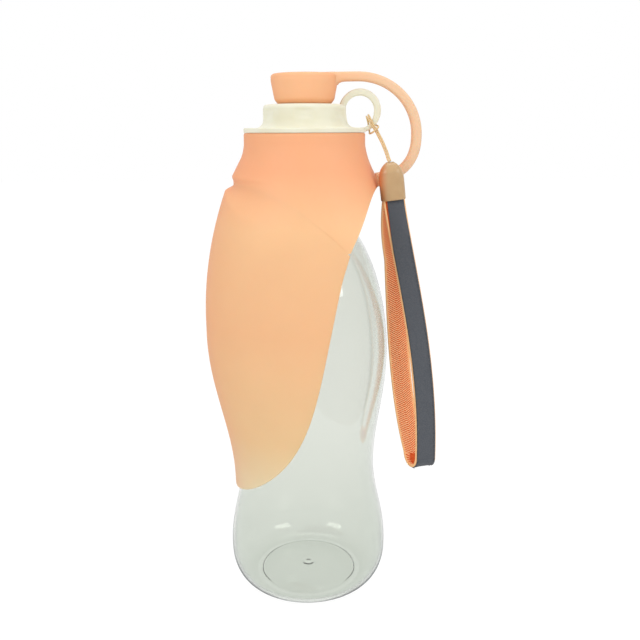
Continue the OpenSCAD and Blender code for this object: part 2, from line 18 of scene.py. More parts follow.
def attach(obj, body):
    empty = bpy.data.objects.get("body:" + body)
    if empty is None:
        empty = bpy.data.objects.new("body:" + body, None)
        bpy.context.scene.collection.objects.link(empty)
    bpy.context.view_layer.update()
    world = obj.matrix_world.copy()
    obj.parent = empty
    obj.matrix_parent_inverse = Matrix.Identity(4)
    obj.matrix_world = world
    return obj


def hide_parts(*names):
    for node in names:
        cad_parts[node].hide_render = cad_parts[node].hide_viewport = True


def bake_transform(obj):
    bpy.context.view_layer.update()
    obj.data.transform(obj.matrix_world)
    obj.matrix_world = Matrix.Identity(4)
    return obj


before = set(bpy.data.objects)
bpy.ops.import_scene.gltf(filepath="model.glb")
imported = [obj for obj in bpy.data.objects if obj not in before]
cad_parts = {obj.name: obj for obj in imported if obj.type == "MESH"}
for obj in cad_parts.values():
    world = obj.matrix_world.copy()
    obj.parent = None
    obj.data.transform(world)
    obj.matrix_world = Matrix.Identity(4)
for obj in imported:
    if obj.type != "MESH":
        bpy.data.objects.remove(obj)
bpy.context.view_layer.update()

LOG = logging.getLogger("bottle")
MM = 0.001
SHARP = math.radians(40)
Point = tuple[float, float, float]
Pair = tuple[float, float]
Colour = tuple[float, float, float]
Material = bpy.types.Material
Mesh = bpy.types.Mesh
Node = bpy.types.Node
Piece = bpy.types.Object
Socket = bpy.types.NodeSocket


class Body(Enum):
    """The CAD bodies that pieces ride on."""

    BOTTLE = "bottle"
    LID = "lid"
    LEAF = "leaf"
    STOPPER = "stopper"
    CORD = "strap_cord"
    STRAP = "strap"


class Slot(Enum):
    """The record's material slots of the new pieces."""

    CLEAR = "clear_plastic"
    LID = "lid_plastic"
    SILICONE = "silicone"
    CORD = "cord_fibre"
    BELL = "bell_plastic"
    WEBBING = "webbing_fabric"
    FACING = "facing_fabric"


# ------------------------------------------------------------------ small maths


def clamp01(t: float) -> float:
    """Limits t to the range 0 to 1."""
    return min(max(t, 0.0), 1.0)


def ease(t: float) -> float:
    """Smooth step from 0 at t = 0 to 1 at t = 1."""
    t = clamp01(t)
    return t * t * (3 - 2 * t)


def swing(t: float) -> float:
    """Half a cosine wave from 0 at t = 0 to 1 at t = 1."""
    return (1 - math.cos(math.pi * clamp01(t))) / 2


def mix(a: float, b: float, t: float) -> float:
    """The value a share t of the way from a to b."""
    return a + (b - a) * t


def span(start: float, stop: float, count: int) -> list[float]:
    """Evenly spaced values from start to stop, both included."""
    return [mix(start, stop, i / (count - 1)) for i in range(count)]


def linear(red: int, green: int, blue: int) -> Colour:
    """Turns a colour as seen on a screen, 0 to 255, into linear light.

    Args:
        red: The red level.
        green: The green level.
        blue: The blue level.

    Returns:
        The three linear levels, 0 to 1.
    """
    def one(level: int) -> float:
        """One level in linear light."""
        c = level / 255
        return c / 12.92 if c <= 0.04045 else ((c + 0.055) / 1.055) ** 2.4
    return one(red), one(green), one(blue)


# ------------------------------------------------------------------ mesh making


def fillet(corners: Sequence[Point], steps: int = 5, closed: bool = True) -> list[Pair]:
    """Rounds the corners of an outline.

    Args:
        corners: Each corner's place, then its radius, 0 to leave it sharp.
        steps: How many pieces make one rounded corner.
        closed: Whether the last corner joins the first.

    Returns:
        The rounded outline.
    """
    nearly_straight = math.radians(89)
    n = len(corners)
    out: list[Pair] = []
    for i, (x, y, r) in enumerate(corners):
        if r <= 0 or (not closed and i in (0, n - 1)):
            out.append((x, y))
            continue
        p = Vector((x, y))
        to_a = Vector(corners[(i - 1) % n][:2]) - p
        to_b = Vector(corners[(i + 1) % n][:2]) - p
        half = to_a.angle(to_b) / 2
        if half > nearly_straight:
            out.append((x, y))
            continue
        cut = min(r / math.tan(half), to_a.length * 0.49, to_b.length * 0.49)
        r = cut * math.tan(half)
        to_a.normalize()
        to_b.normalize()
        centre = p + (to_a + to_b).normalized() * (r / math.sin(half))
        for k in range(steps + 1):
            way = (p + to_a * cut - centre).lerp(p + to_b * cut - centre, k / steps)
            out.append(tuple(centre + way.normalized() * r))
    return out


def refine(points: Sequence[Pair], step: float, closed: bool = True) -> list[Pair]:
    """Splits the long sides of an outline.

    Args:
        points: The outline.
        step: The longest side allowed.
        closed: Whether the last point joins the first.

    Returns:
        The outline with points added.
    """
    out: list[Pair] = []
    last = len(points) if closed else len(points) - 1
    for i in range(last):
        a, b = points[i], points[(i + 1) % len(points)]
        parts = max(1, math.ceil(math.dist(a, b) / step))
        out += [(mix(a[0], b[0], k / parts), mix(a[1], b[1], k / parts)) for k in range(parts)]
    return out if closed else out + [points[-1]]


def finish_mesh(name: str, mesh: Mesh, finish: Material, sharp: float = SHARP) -> Piece:
    """Smooths a mesh, gives it its finish and links it to the scene.

    Args:
        name: The piece's name.
        mesh: Its mesh, in metres.
        finish: Its material.
        sharp: Edges turned by more than this angle stay crisp.

    Returns:
        The new object.
    """
    mesh.materials.clear()
    mesh.materials.append(finish)
    mesh.polygons.foreach_set("use_smooth", [True] * len(mesh.polygons))
    mesh.set_sharp_from_angle(angle=sharp)
    piece = bpy.data.objects.new(name, mesh)
    bpy.context.scene.collection.objects.link(piece)
    return piece


def loft(
    name: str,
    rings: Sequence[Sequence[Point]],
    finish: Material,
    cyclic: bool = False,
    caps: bool = False,
    sharp: float = SHARP,
) -> Piece:
    """Makes a closed skin through rings of points.

    The UV map counts metres: U round the ring, V from ring to ring.

    Args:
        name: The piece's name.
        rings: Rings of the same number of points, in millimetres.
        finish: The piece's material.
        cyclic: Whether the last ring joins the first.
        caps: Whether the first and last rings are filled.
        sharp: Edges turned by more than this angle stay crisp.

    Returns:
        The new object.
    """
    n, m = len(rings), len(rings[0])
    verts = [Vector(p) * MM for ring in rings for p in ring]
    last = n if cyclic else n - 1
    faces = [
        (i * m + j, i * m + (j + 1) % m, (i + 1) % n * m + (j + 1) % m, (i + 1) % n * m + j)
        for i in range(last) for j in range(m)
    ]
    if caps:
        faces += [tuple(range(m)), tuple(range((n - 1) * m, n * m))]
    mesh = bpy.data.meshes.new(name)
    mesh.from_pydata(verts, [], faces)
    middle = n // 2 * m
    us, vs = [0.0], [0.0]
    for j in range(m):
        us.append(us[-1] + (verts[middle + (j + 1) % m] - verts[middle + j]).length)
    for i in range(n):
        vs.append(vs[-1] + (verts[(i + 1) % n * m] - verts[i * m]).length)
    uv = mesh.uv_layers.new(name="UVMap").data
    for k, face in enumerate(mesh.polygons):
        if k < last * m:
            i, j = divmod(k, m)
            corners = ((us[j], vs[i]), (us[j + 1], vs[i]), (us[j + 1], vs[i + 1]), (us[j], vs[i + 1]))
        else:
            corners = [(0.0, 0.0)] * len(face.loop_indices)
        for loop, corner in zip(face.loop_indices, corners):
            uv[loop].uv = corner
    clean(mesh)
    return finish_mesh(name, mesh, finish, sharp)


def clean(mesh: Mesh, distance: float = 0.0) -> None:
    """Points the faces outwards, after merging doubled points such as those of a pole.

    Args:
        mesh: The mesh.
        distance: How close two points are to be one, in metres; 0 merges none.
    """
    tidy = bmesh.new()
    tidy.from_mesh(mesh)
    if distance:
        bmesh.ops.remove_doubles(tidy, verts=tidy.verts, dist=distance)
        bmesh.ops.dissolve_degenerate(tidy, edges=tidy.edges, dist=distance / 4)
    bmesh.ops.recalc_face_normals(tidy, faces=tidy.faces)
    tidy.to_mesh(mesh)
    tidy.free()


def lathe(
    name: str,
    profile: Sequence[Pair],
    finish: Material,
    segments: int = 160,
    shape: Optional[Callable[[float, float, float], float]] = None,
) -> Piece:
    """Turns a closed outline round the Z axis.

    Args:
        name: The piece's name.
        profile: The closed outline as (radius, height) pairs, in millimetres.
        finish: The piece's material.
        segments: How many steps go round.
        shape: Gives the radius to use at (radius, height, angle in degrees).

    Returns:
        The new object.
    """
    rings = []
    for k in range(segments):
        angle = 360 * k / segments
        c, s = math.cos(math.radians(angle)), math.sin(math.radians(angle))
        radii = [shape(r, z, angle) if shape else r for r, z in profile]
        rings.append([(r * c, r * s, z) for r, (_, z) in zip(radii, profile)])
    piece = loft(name, rings, finish, cyclic=True)
    clean(piece.data, 2e-6)
    return piece


def path_frames(path: Sequence[Vector], side: Vector, carried: bool) -> list[tuple[Vector, Vector, Vector]]:
    """Sets a frame at each point of a path.

    Args:
        path: The path's points.
        side: Roughly sideways, at the start or all along.
        carried: Whether a point takes its side from the point before, so that nothing twists.

    Returns:
        For each point, the unit directions (along, side, normal).
    """
    frames = []
    last = len(path) - 1
    for i in range(len(path)):
        along = (path[min(i + 1, last)] - path[max(i - 1, 0)]).normalized()
        here = (side - along * side.dot(along)).normalized()
        frames.append((along, here, along.cross(here)))
        side = here if carried else side
    return frames


def smooth_path(points: Sequence[Point], per_span: int) -> list[Vector]:
    """Runs one smooth curve through chosen points.

    Args:
        points: The chosen points.
        per_span: How many steps lie between two of them.

    Returns:
        The curve's points.
    """
    p = [Vector(q) for q in points]
    p = [2 * p[0] - p[1]] + p + [2 * p[-1] - p[-2]]
    out = []
    for i in range(1, len(p) - 2):
        for k in range(per_span):
            t = k / per_span
            out.append(0.5 * (2 * p[i] + (p[i + 1] - p[i - 1]) * t
                              + (2 * p[i - 1] - 5 * p[i] + 4 * p[i + 1] - p[i + 2]) * t * t
                              + (3 * p[i] - p[i - 1] - 3 * p[i + 1] + p[i + 2]) * t ** 3))
    return out + [p[-2]]


def squared_oval(half_a: float, half_b: float, power: float, count: int) -> list[Pair]:
    """An oval whose corners fill out as power drops below 1.

    Args:
        half_a: Half its width.
        half_b: Half its height.
        power: 1 for an ellipse, less for a squarer one.
        count: How many points it has.

    Returns:
        The oval's points.
    """
    out = []
    for k in range(count):
        a = 2 * math.pi * (k + 0.5) / count
        c, s = math.cos(a), math.sin(a)
        out.append((half_a * math.copysign(abs(c) ** power, c),
                    half_b * math.copysign(abs(s) ** power, s)))
    return out


# ------------------------------------------------------------------ node trees


class Nodes:
    """A node tree with short calls for adding and joining nodes."""

    def __init__(self, tree: bpy.types.NodeTree) -> None:
        """Works on a tree that exists."""
        self.tree = tree

    def put(self, socket: Socket, value: object) -> None:
        """Links a socket to an input, or sets its value."""
        if isinstance(value, Socket):
            self.tree.links.new(value, socket)
        else:
            socket.default_value = value

    def add(self, kind: str, inputs: Optional[dict] = None, **settings: object) -> Node:
        """Adds a node.

        Args:
            kind: The node's type name.
            inputs: Values or sockets for its inputs, by name or number.
            settings: Properties of the node itself.

        Returns:
            The node.
        """
        node = self.tree.nodes.new(kind)
        for key, value in settings.items():
            setattr(node, key, value)
        for key, value in (inputs or {}).items():
            self.put(node.inputs[key], value)
        return node

    def math(self, operation: str, a: object, b: object = 0.0) -> Socket:
        """Adds a Math node and returns its result."""
        return self.add("ShaderNodeMath", {0: a, 1: b}, operation=operation).outputs[0]

    def seen_rays(self) -> Socket:
        """1 for camera, glossy and transmission rays, else 0."""
        rays = self.add("ShaderNodeLightPath").outputs
        seen = self.math("MAXIMUM", rays["Is Camera Ray"], rays["Is Glossy Ray"])
        return self.math("MAXIMUM", seen, rays["Is Transmission Ray"])

    def remap(self, value: object, start: float, stop: float, low: float = 0.0, high: float = 1.0) -> Socket:
        """Turns start to stop into low to high, and stays inside that."""
        return self.add("ShaderNodeMapRange", {0: value, 1: start, 2: stop, 3: low, 4: high}).outputs[0]


class Shader(Nodes):
    """A material's node tree with short calls for what the finishes need."""

    def __init__(self, name: str) -> None:
        """Makes an empty material around one Principled shader."""
        self.material = bpy.data.materials.new(name)
        self.material.use_nodes = True
        super().__init__(self.material.node_tree)
        self.principled = self.tree.nodes["Principled BSDF"]
        self.output = self.tree.nodes["Material Output"]

    def set(self, **values: object) -> None:
        """Sets inputs of the Principled shader; underscores stand for spaces."""
        for key, value in values.items():
            self.put(self.principled.inputs[key.replace("_", " ")], value)

    def place(self) -> Socket:
        """The point's own place on the object."""
        return self.add("ShaderNodeTexCoord").outputs["Object"]

    def xyz(self) -> Sequence[Socket]:
        """The three parts of the point's place."""
        return self.add("ShaderNodeSeparateXYZ", {0: self.place()}).outputs

    def uv(self) -> tuple[Socket, Socket]:
        """The piece's own U and V, in metres."""
        split = self.add("ShaderNodeSeparateXYZ", {0: self.add("ShaderNodeTexCoord").outputs["UV"]})
        return split.outputs[0], split.outputs[1]

    def slant(self) -> Socket:
        """0 where the surface faces the eye, 1 where it is seen edge on."""
        return self.add("ShaderNodeLayerWeight", {"Blend": 0.5}).outputs["Facing"]

    def noise(self, scale: float, detail: float = 2.0) -> Socket:
        """Adds smooth noise of that many cells in a metre."""
        inputs = {"Vector": self.place(), "Scale": scale, "Detail": detail}
        return self.add("ShaderNodeTexNoise", inputs).outputs[0]

    def around(self, value: object, middle: float, swing_by: float) -> Socket:
        """Turns a value of 0 to 1 into a range round a middle."""
        return self.remap(value, 0.0, 1.0, middle - swing_by, middle + swing_by)

    def wave(self, value: object, length: float) -> Socket:
        """A sine wave of that length."""
        return self.math("SINE", self.math("MULTIPLY", value, 2 * math.pi / length))

    def ramp(self, value: object, stops: Sequence[tuple[float, Colour]]) -> Socket:
        """Turns a value into a colour by a list of stops."""
        node = self.add("ShaderNodeValToRGB", {0: value})
        elements = node.color_ramp.elements
        while len(elements) < len(stops):
            elements.new(0.5)
        for element, (at, colour) in zip(elements, stops):
            element.position = at
            element.color = (*colour, 1)
        return node.outputs[0]

    def blend(self, share: object, a: object, b: object, kind: str = "MIX") -> Socket:
        """Mixes two colours."""
        a = (*a, 1) if isinstance(a, tuple) else a
        b = (*b, 1) if isinstance(b, tuple) else b
        node = self.add("ShaderNodeMix", {0: share, 6: a, 7: b}, data_type="RGBA", blend_type=kind)
        return node.outputs[2]

    def bump(self, height: object, depth: float, strength: float = 1.0, under: object = None) -> Socket:
        """Adds a bump of that depth in metres, over another one if given."""
        inputs = {"Height": height, "Distance": depth, "Strength": strength}
        if under is not None:
            inputs["Normal"] = under
        return self.add("ShaderNodeBump", inputs).outputs[0]

    def over(self, share: object, below: Socket, above: Node) -> Socket:
        """Lays a share of one shader over another."""
        return self.add("ShaderNodeMixShader", {0: share, 1: below, 2: above.outputs[0]}).outputs[0]

    def end(self, last: Socket) -> Material:
        """Ends the tree with another shader than the Principled one."""
        self.tree.links.new(last, self.output.inputs[0])
        return self.material


@dataclass(frozen=True)
class SiliconeFinish:
    """Soft translucent silicone, painted paler towards the leaf's thin tip and deeper on the collar,
    standing in for light through it, with painted shade deepening its rims.
    """

    name: str = "silicone_peach"
    tip: Colour = linear(234, 225, 188)
    low: Colour = linear(239, 201, 151)
    middle: Colour = linear(245, 190, 142)
    high: Colour = linear(250, 197, 148)
    collar: Colour = linear(251, 178, 133)
    top: Colour = linear(252, 182, 136)
    # rim is the colour of painted shade where the surface is seen edge on.
    rim: Colour = linear(226, 142, 92)
    pale: Optional[Colour] = None
    pale_x: Pair = (0.016, 0.046)
    tip_z: float = 0.050
    top_z: float = 0.222
    unevenness: float = 0.03
    rim_shade_power: float = 2.2
    rim_shade_share: float = 0.75
    flow_depth: float = 0.0004
    grain_depth: float = 0.00003

    def material(self) -> Material:
        """Builds the node material."""
        s = Shader(self.name)
        across, _, height = s.xyz()
        share = s.remap(height, self.tip_z, self.top_z)
        drift = s.around(s.noise(28, 3), 0.0, self.unevenness)
        # Painted light: paler towards the thin tip and deeper on the collar, standing in for light through
        # the silicone.
        tone = s.ramp(s.math("ADD", share, drift), (
            (0.0, self.tip), (0.2, self.low), (0.5, self.middle), (0.76, self.high),
            (0.9, self.collar), (1.0, self.top)))
        if self.pale:
            tone = s.blend(s.remap(across, *self.pale_x), tone, self.pale)
        cloud = s.around(s.noise(60, 4), 1.0, self.unevenness)
        grey = s.add("ShaderNodeCombineColor", {0: cloud, 1: cloud, 2: cloud}).outputs[0]
        tone = s.blend(1.0, tone, grey, "MULTIPLY")
        # Painted shade: deeper towards the rim colour where the surface is seen edge on.
        rim = s.math("MULTIPLY", s.math("POWER", s.slant(), self.rim_shade_power), self.rim_shade_share)
        s.set(Base_Color=s.blend(rim, tone, self.rim), Specular_IOR_Level=0.22)
        s.set(Roughness=s.remap(s.noise(900, 2), 0.0, 1.0, 0.45, 0.56))
        s.set(Subsurface_Weight=0.2, Subsurface_Scale=0.0025, Subsurface_Radius=(1.0, 0.5, 0.3))
        flow = s.bump(s.noise(45, 2), self.flow_depth, 0.25)
        s.set(Normal=s.bump(s.noise(5200, 3), self.grain_depth, 0.5, flow))
        return s.material


@dataclass(frozen=True)
class ClearFinish:
    """Clear, faintly grey-green blown plastic.

    Painted shade makes it darker where it is seen at a slant and towards the foot, and a painted
    dark outline, darkest of all, runs along the foot's edge. Most of the light for what stands
    behind it passes straight through.
    """

    tint: Colour = linear(236, 238, 233)
    # slant_shade_tint is painted shade for slanted views and towards the foot.
    slant_shade_tint: Colour = linear(206, 213, 205)
    # rim colours a painted dark outline, painted shade along the foot's edge.
    rim: Colour = linear(92, 106, 108)
    index: float = 1.45
    foot_shade_z: float = 0.07
    foot_shade_share: float = 0.4
    shell_r: Pair = (0.0285, 0.031)
    rim_shade_slant: Pair = (0.74, 0.95)
    rim_shade_share: float = 0.26
    heel_shade_z: Pair = (0.03, 0.01)
    heel_shade_levels: Pair = (0.4, 3.2)
    passing: float = 0.8

    def outline(self, s: Shader, slant: Socket, low: Socket) -> Socket:
        """How much of the painted dark outline along the foot shows.

        Args:
            s: The material's shader.
            slant: How slanted the surface is seen.
            low: The point's height.

        Returns:
            The share of the dark outline.
        """
        away = s.add("ShaderNodeVectorMath", {0: s.place()}, operation="LENGTH").outputs["Value"]
        heel = s.math("MULTIPLY", s.remap(low, *self.heel_shade_z, *self.heel_shade_levels), s.remap(away, *self.shell_r))
        return s.math("MULTIPLY", s.remap(slant, *self.rim_shade_slant, 0.0, self.rim_shade_share), heel)

    def material(self) -> Material:
        """Builds the node material."""
        s = Shader("clear_grey_green")
        slant = s.slant()
        low = s.xyz()[2]
        # Painted shade: darker towards the foot and where the surface is seen at a slant.
        foot = s.remap(low, self.foot_shade_z, 0.0, 0.0, self.foot_shade_share)
        share = s.math("ADD", s.math("POWER", slant, 2.5), foot)
        s.set(Base_Color=s.blend(share, self.tint, self.slant_shade_tint), Transmission_Weight=1.0, IOR=self.index)
        s.set(Roughness=s.remap(s.noise(140, 3), 0.0, 1.0, 0.015, 0.05))
        s.set(Normal=s.bump(s.noise(38, 2), 0.0005, 0.12))
        # Painted shade: a dark matt layer along the foot's outline.
        dark = s.add("ShaderNodeBsdfDiffuse", {"Color": (*self.rim, 1)})
        both = s.over(self.outline(s, slant, low), s.principled.outputs[0], dark)
        ray = s.add("ShaderNodeLightPath").outputs
        unseen = s.math("MAXIMUM", ray["Is Shadow Ray"], ray["Is Diffuse Ray"])
        through = s.add("ShaderNodeBsdfTransparent", {"Color": (*self.tint, 1)})
        return s.end(s.over(s.math("MULTIPLY", unseen, self.passing), both, through))


@dataclass(frozen=True)
class MouldedFinish:
    """Moulded plastic with a fine spark-eroded grain, faint clouds of tone and, if given, a painted
    reflection on one side.
    """

    name: str
    tone: Colour
    shade: Colour
    roughness: float
    inside_light: float = 0.1
    # leaf_reflection is a painted reflection of the orange leaf, on the side that faces it.
    leaf_reflection: Optional[Colour] = None
    leaf_reflection_x: Pair = (0.0362, 0.0322)
    grain: float = 3800
    grain_depth: float = 0.00002

    def material(self) -> Material:
        """Builds the node material."""
        s = Shader(self.name)
        tone = s.ramp(s.noise(75, 4), ((0.35, self.shade), (0.62, self.tone)))
        # Painted reflection of the orange leaf on the side towards it.
        if self.leaf_reflection:
            tone = s.blend(s.remap(s.xyz()[0], *self.leaf_reflection_x), tone, self.leaf_reflection)
        matt = s.remap(s.noise(700, 2), 0.0, 1.0, self.roughness - 0.05, self.roughness + 0.07)
        s.set(Base_Color=tone, Roughness=matt, Subsurface_Weight=self.inside_light)
        s.set(Subsurface_Scale=0.002, Subsurface_Radius=(1.0, 0.8, 0.5))
        s.set(Normal=s.bump(s.noise(self.grain, 3), self.grain_depth, 0.5))
        return s.material


@dataclass(frozen=True)
class WebbingFinish:
    """Woven yarn: fuzzy, with fine strands across, and a faint painted glow that lightens it in shade."""

    name: str
    bright: Colour
    dark: Colour
    strand: float = 0.0007
    glow: float = 0.13

    def material(self) -> Material:
        """Builds the node material."""
        s = Shader(self.name)
        x, _, z = s.xyz()
        twist = s.wave(s.math("ADD", x, z), self.strand)
        fuzz = s.noise(2600, 3)
        share = s.math("ADD", s.math("MULTIPLY", twist, 0.18), fuzz)
        tone = s.ramp(share, ((0.3, self.dark), (0.62, self.bright)))
        # Painted light: the tone glows faintly to lighten the webbing where it lies in shade.
        s.set(Base_Color=tone, Emission_Color=tone, Emission_Strength=self.glow)
        s.set(Roughness=0.9, Sheen_Weight=0.06, Sheen_Roughness=0.4, Specular_IOR_Level=0.05)
        s.set(Normal=s.bump(fuzz, 0.0001, 0.6))
        return s.material


@dataclass(frozen=True)
class RibbonFinish:
    """Grey ribbon with fine cross ribs."""

    tone: Colour = linear(95, 98, 103)
    shade: Colour = linear(80, 84, 91)
    rib: float = 0.00042
    warp: float = 0.0005

    def material(self) -> Material:
        """Builds the node material."""
        s = Shader("ribbon_grey")
        u, v = s.uv()
        weave = s.math("ADD", s.wave(v, self.rib), s.math("MULTIPLY", s.wave(u, self.warp), 0.5))
        s.set(Base_Color=s.ramp(s.noise(2400, 2), ((0.25, self.shade), (0.7, self.tone))))
        s.set(Roughness=0.72, Sheen_Weight=0.25, Sheen_Roughness=0.35, Specular_IOR_Level=0.25)
        s.set(Normal=s.bump(weave, 0.00005, 0.7))
        return s.material


@dataclass(frozen=True)
class ThreadFinish:
    """Twisted thread or thin braided cord."""

    name: str
    tone: Colour
    shade: Colour
    lay: float = 0.0016
    turn: float = 0.0038

    def material(self) -> Material:
        """Builds the node material."""
        s = Shader(self.name)
        u, v = s.uv()
        strands = s.wave(s.math("ADD", s.math("DIVIDE", v, self.lay), s.math("DIVIDE", u, self.turn)), 1)
        share = s.math("ADD", s.math("MULTIPLY", strands, 0.06), s.noise(500, 1))
        s.set(Base_Color=s.ramp(share, ((0.2, self.shade), (0.55, self.tone))))
        s.set(Roughness=0.7, Sheen_Weight=0.3, Sheen_Roughness=0.4, Specular_IOR_Level=0.3)
        s.set(Normal=s.bump(strands, 0.00004, 0.5))
        return s.material


class GeometryTree(Nodes):
    """A Geometry Nodes tree with named inputs that ends in a plain mesh."""

    def __init__(self, name: str) -> None:
        """Makes a tree whose only input so far is the geometry it starts from."""
        super().__init__(bpy.data.node_groups.new(name, "GeometryNodeTree"))
        for way in ("INPUT", "OUTPUT"):
            self.tree.interface.new_socket("Geometry", in_out=way, socket_type="NodeSocketGeometry")
        self.source = self.tree.nodes.new("NodeGroupInput")
        self.sink = self.tree.nodes.new("NodeGroupOutput")
        self.values: dict[str, object] = {}

    def size(self, name: str, value: object, kind: str = "Float") -> Socket:
        """Adds a named input with its value and returns its socket in the tree."""
        self.tree.interface.new_socket(name, in_out="INPUT", socket_type=f"NodeSocket{kind}")
        self.values[name] = value
        return self.source.outputs[name]

    def point(self, x: object = 0.0, y: object = 0.0, z: object = 0.0) -> Socket:
        """A point from its three parts."""
        return self.add("ShaderNodeCombineXYZ", {0: x, 1: y, 2: z}).outputs[0]

    def tube(self, curve: Node, radius: Socket, sides: int = 6) -> Socket:
        """Sweeps a circle along a curve and closes the ends.

        Args:
            curve: The node that makes the curve.
            radius: The tube's radius.
            sides: How many sides the tube has.

        Returns:
            The tube.
        """
        circle = self.add("GeometryNodeCurvePrimitiveCircle", {"Resolution": sides, "Radius": radius},
                          mode="RADIUS")
        return self.add("GeometryNodeCurveToMesh", {
            "Curve": curve.outputs[0], "Profile Curve": circle.outputs[0], "Fill Caps": True}).outputs[0]

    def run(self, name: str, last: Socket, finish: Material, start: Optional[Mesh] = None) -> Piece:
        """Ends the tree, runs it and keeps the result as a plain mesh.

        Args:
            name: The new piece's name.
            last: The socket that holds the finished geometry.
            finish: The piece's material.
            start: The mesh that the tree starts from.

        Returns:
            The new piece, with no modifier left on it.
        """
        coat = self.size("Finish", finish, "Material")
        whole = self.add("GeometryNodeRealizeInstances", {"Geometry": last}).outputs[0]
        smooth = self.add("GeometryNodeSetShadeSmooth", {"Geometry": whole}).outputs[0]
        dressed = self.add("GeometryNodeSetMaterial", {"Geometry": smooth, "Material": coat}).outputs[0]
        self.tree.links.new(dressed, self.sink.inputs[0])
        carrier = bpy.data.objects.new(name + "_maker", start or bpy.data.meshes.new(name + "_start"))
        bpy.context.scene.collection.objects.link(carrier)
        modifier = carrier.modifiers.new("maker", "NODES")
        modifier.node_group = self.tree
        for item in self.tree.interface.items_tree:
            if item.in_out == "INPUT" and item.name in self.values:
                modifier[item.identifier] = self.values[item.name]
        bpy.context.view_layer.update()
        graph = bpy.context.evaluated_depsgraph_get()
        mesh = bpy.data.meshes.new_from_object(carrier.evaluated_get(graph), depsgraph=graph)
        mesh.name = name
        bpy.data.objects.remove(carrier)
        return finish_mesh(name, mesh, finish)


def screw_thread(name: str, root: float, rise: float, turns: float, low: float, start_deg: float,
                 depth: float, finish: Material) -> Piece:
    """Grows a screw thread's ridge along a spiral.

    Args:
        name: The piece's name.
        root: Radius of the wall that it stands on, in millimetres.
        rise: Climb in one turn.
        turns: Number of turns.
        low: Height of its start.
        start_deg: Angle of its start.
        depth: How far it stands out; negative stands inwards.
        finish: The piece's material.

    Returns:
        The new piece.
    """
    g = GeometryTree(name + "_tree")
    radius = g.size("Root Radius", (root + depth * 0.35) * MM)
    height = g.size("Height", rise * turns * MM)
    count = g.size("Turns", turns)
    ridge = g.size("Ridge Radius", abs(depth) * 0.66 * MM)
    spiral = g.add("GeometryNodeCurveSpiral", {
        "Resolution": 72, "Rotations": count, "Start Radius": radius, "End Radius": radius, "Height": height})
    piece = g.run(name, g.tube(spiral, ridge, 12), finish)
    turn = Matrix.Rotation(math.radians(start_deg), 4, "Z")
    piece.data.transform(Matrix.Translation((0, 0, low * MM)) @ turn)
    return piece


def dress(piece: Piece, body: Body, slot: Slot, *nodes: str) -> Piece:
    """Hides the CAD nodes that a piece replaces and sets it to ride on its body.

    Args:
        piece: The finished piece.
        body: The body that it rides on.
        slot: The record's material slot; not used.
        nodes: The CAD nodes that it replaces.

    Returns:
        The same piece.
    """
    if nodes:
        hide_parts(*nodes)
    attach(piece, body.value)
    LOG.info("%s rides on %s, %d faces", piece.name, body.value, len(piece.data.polygons))
    return piece


def paint_node(name: str, finish: Material) -> None:
    """Gives a carried-over CAD node its finish."""
    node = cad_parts[name]
    if not node.data.materials:
        node.data.materials.append(finish)
    for place in node.material_slots:
        place.material = finish
    LOG.info("%s keeps its solid", name)


# ------------------------------------------------------------------ the bottle


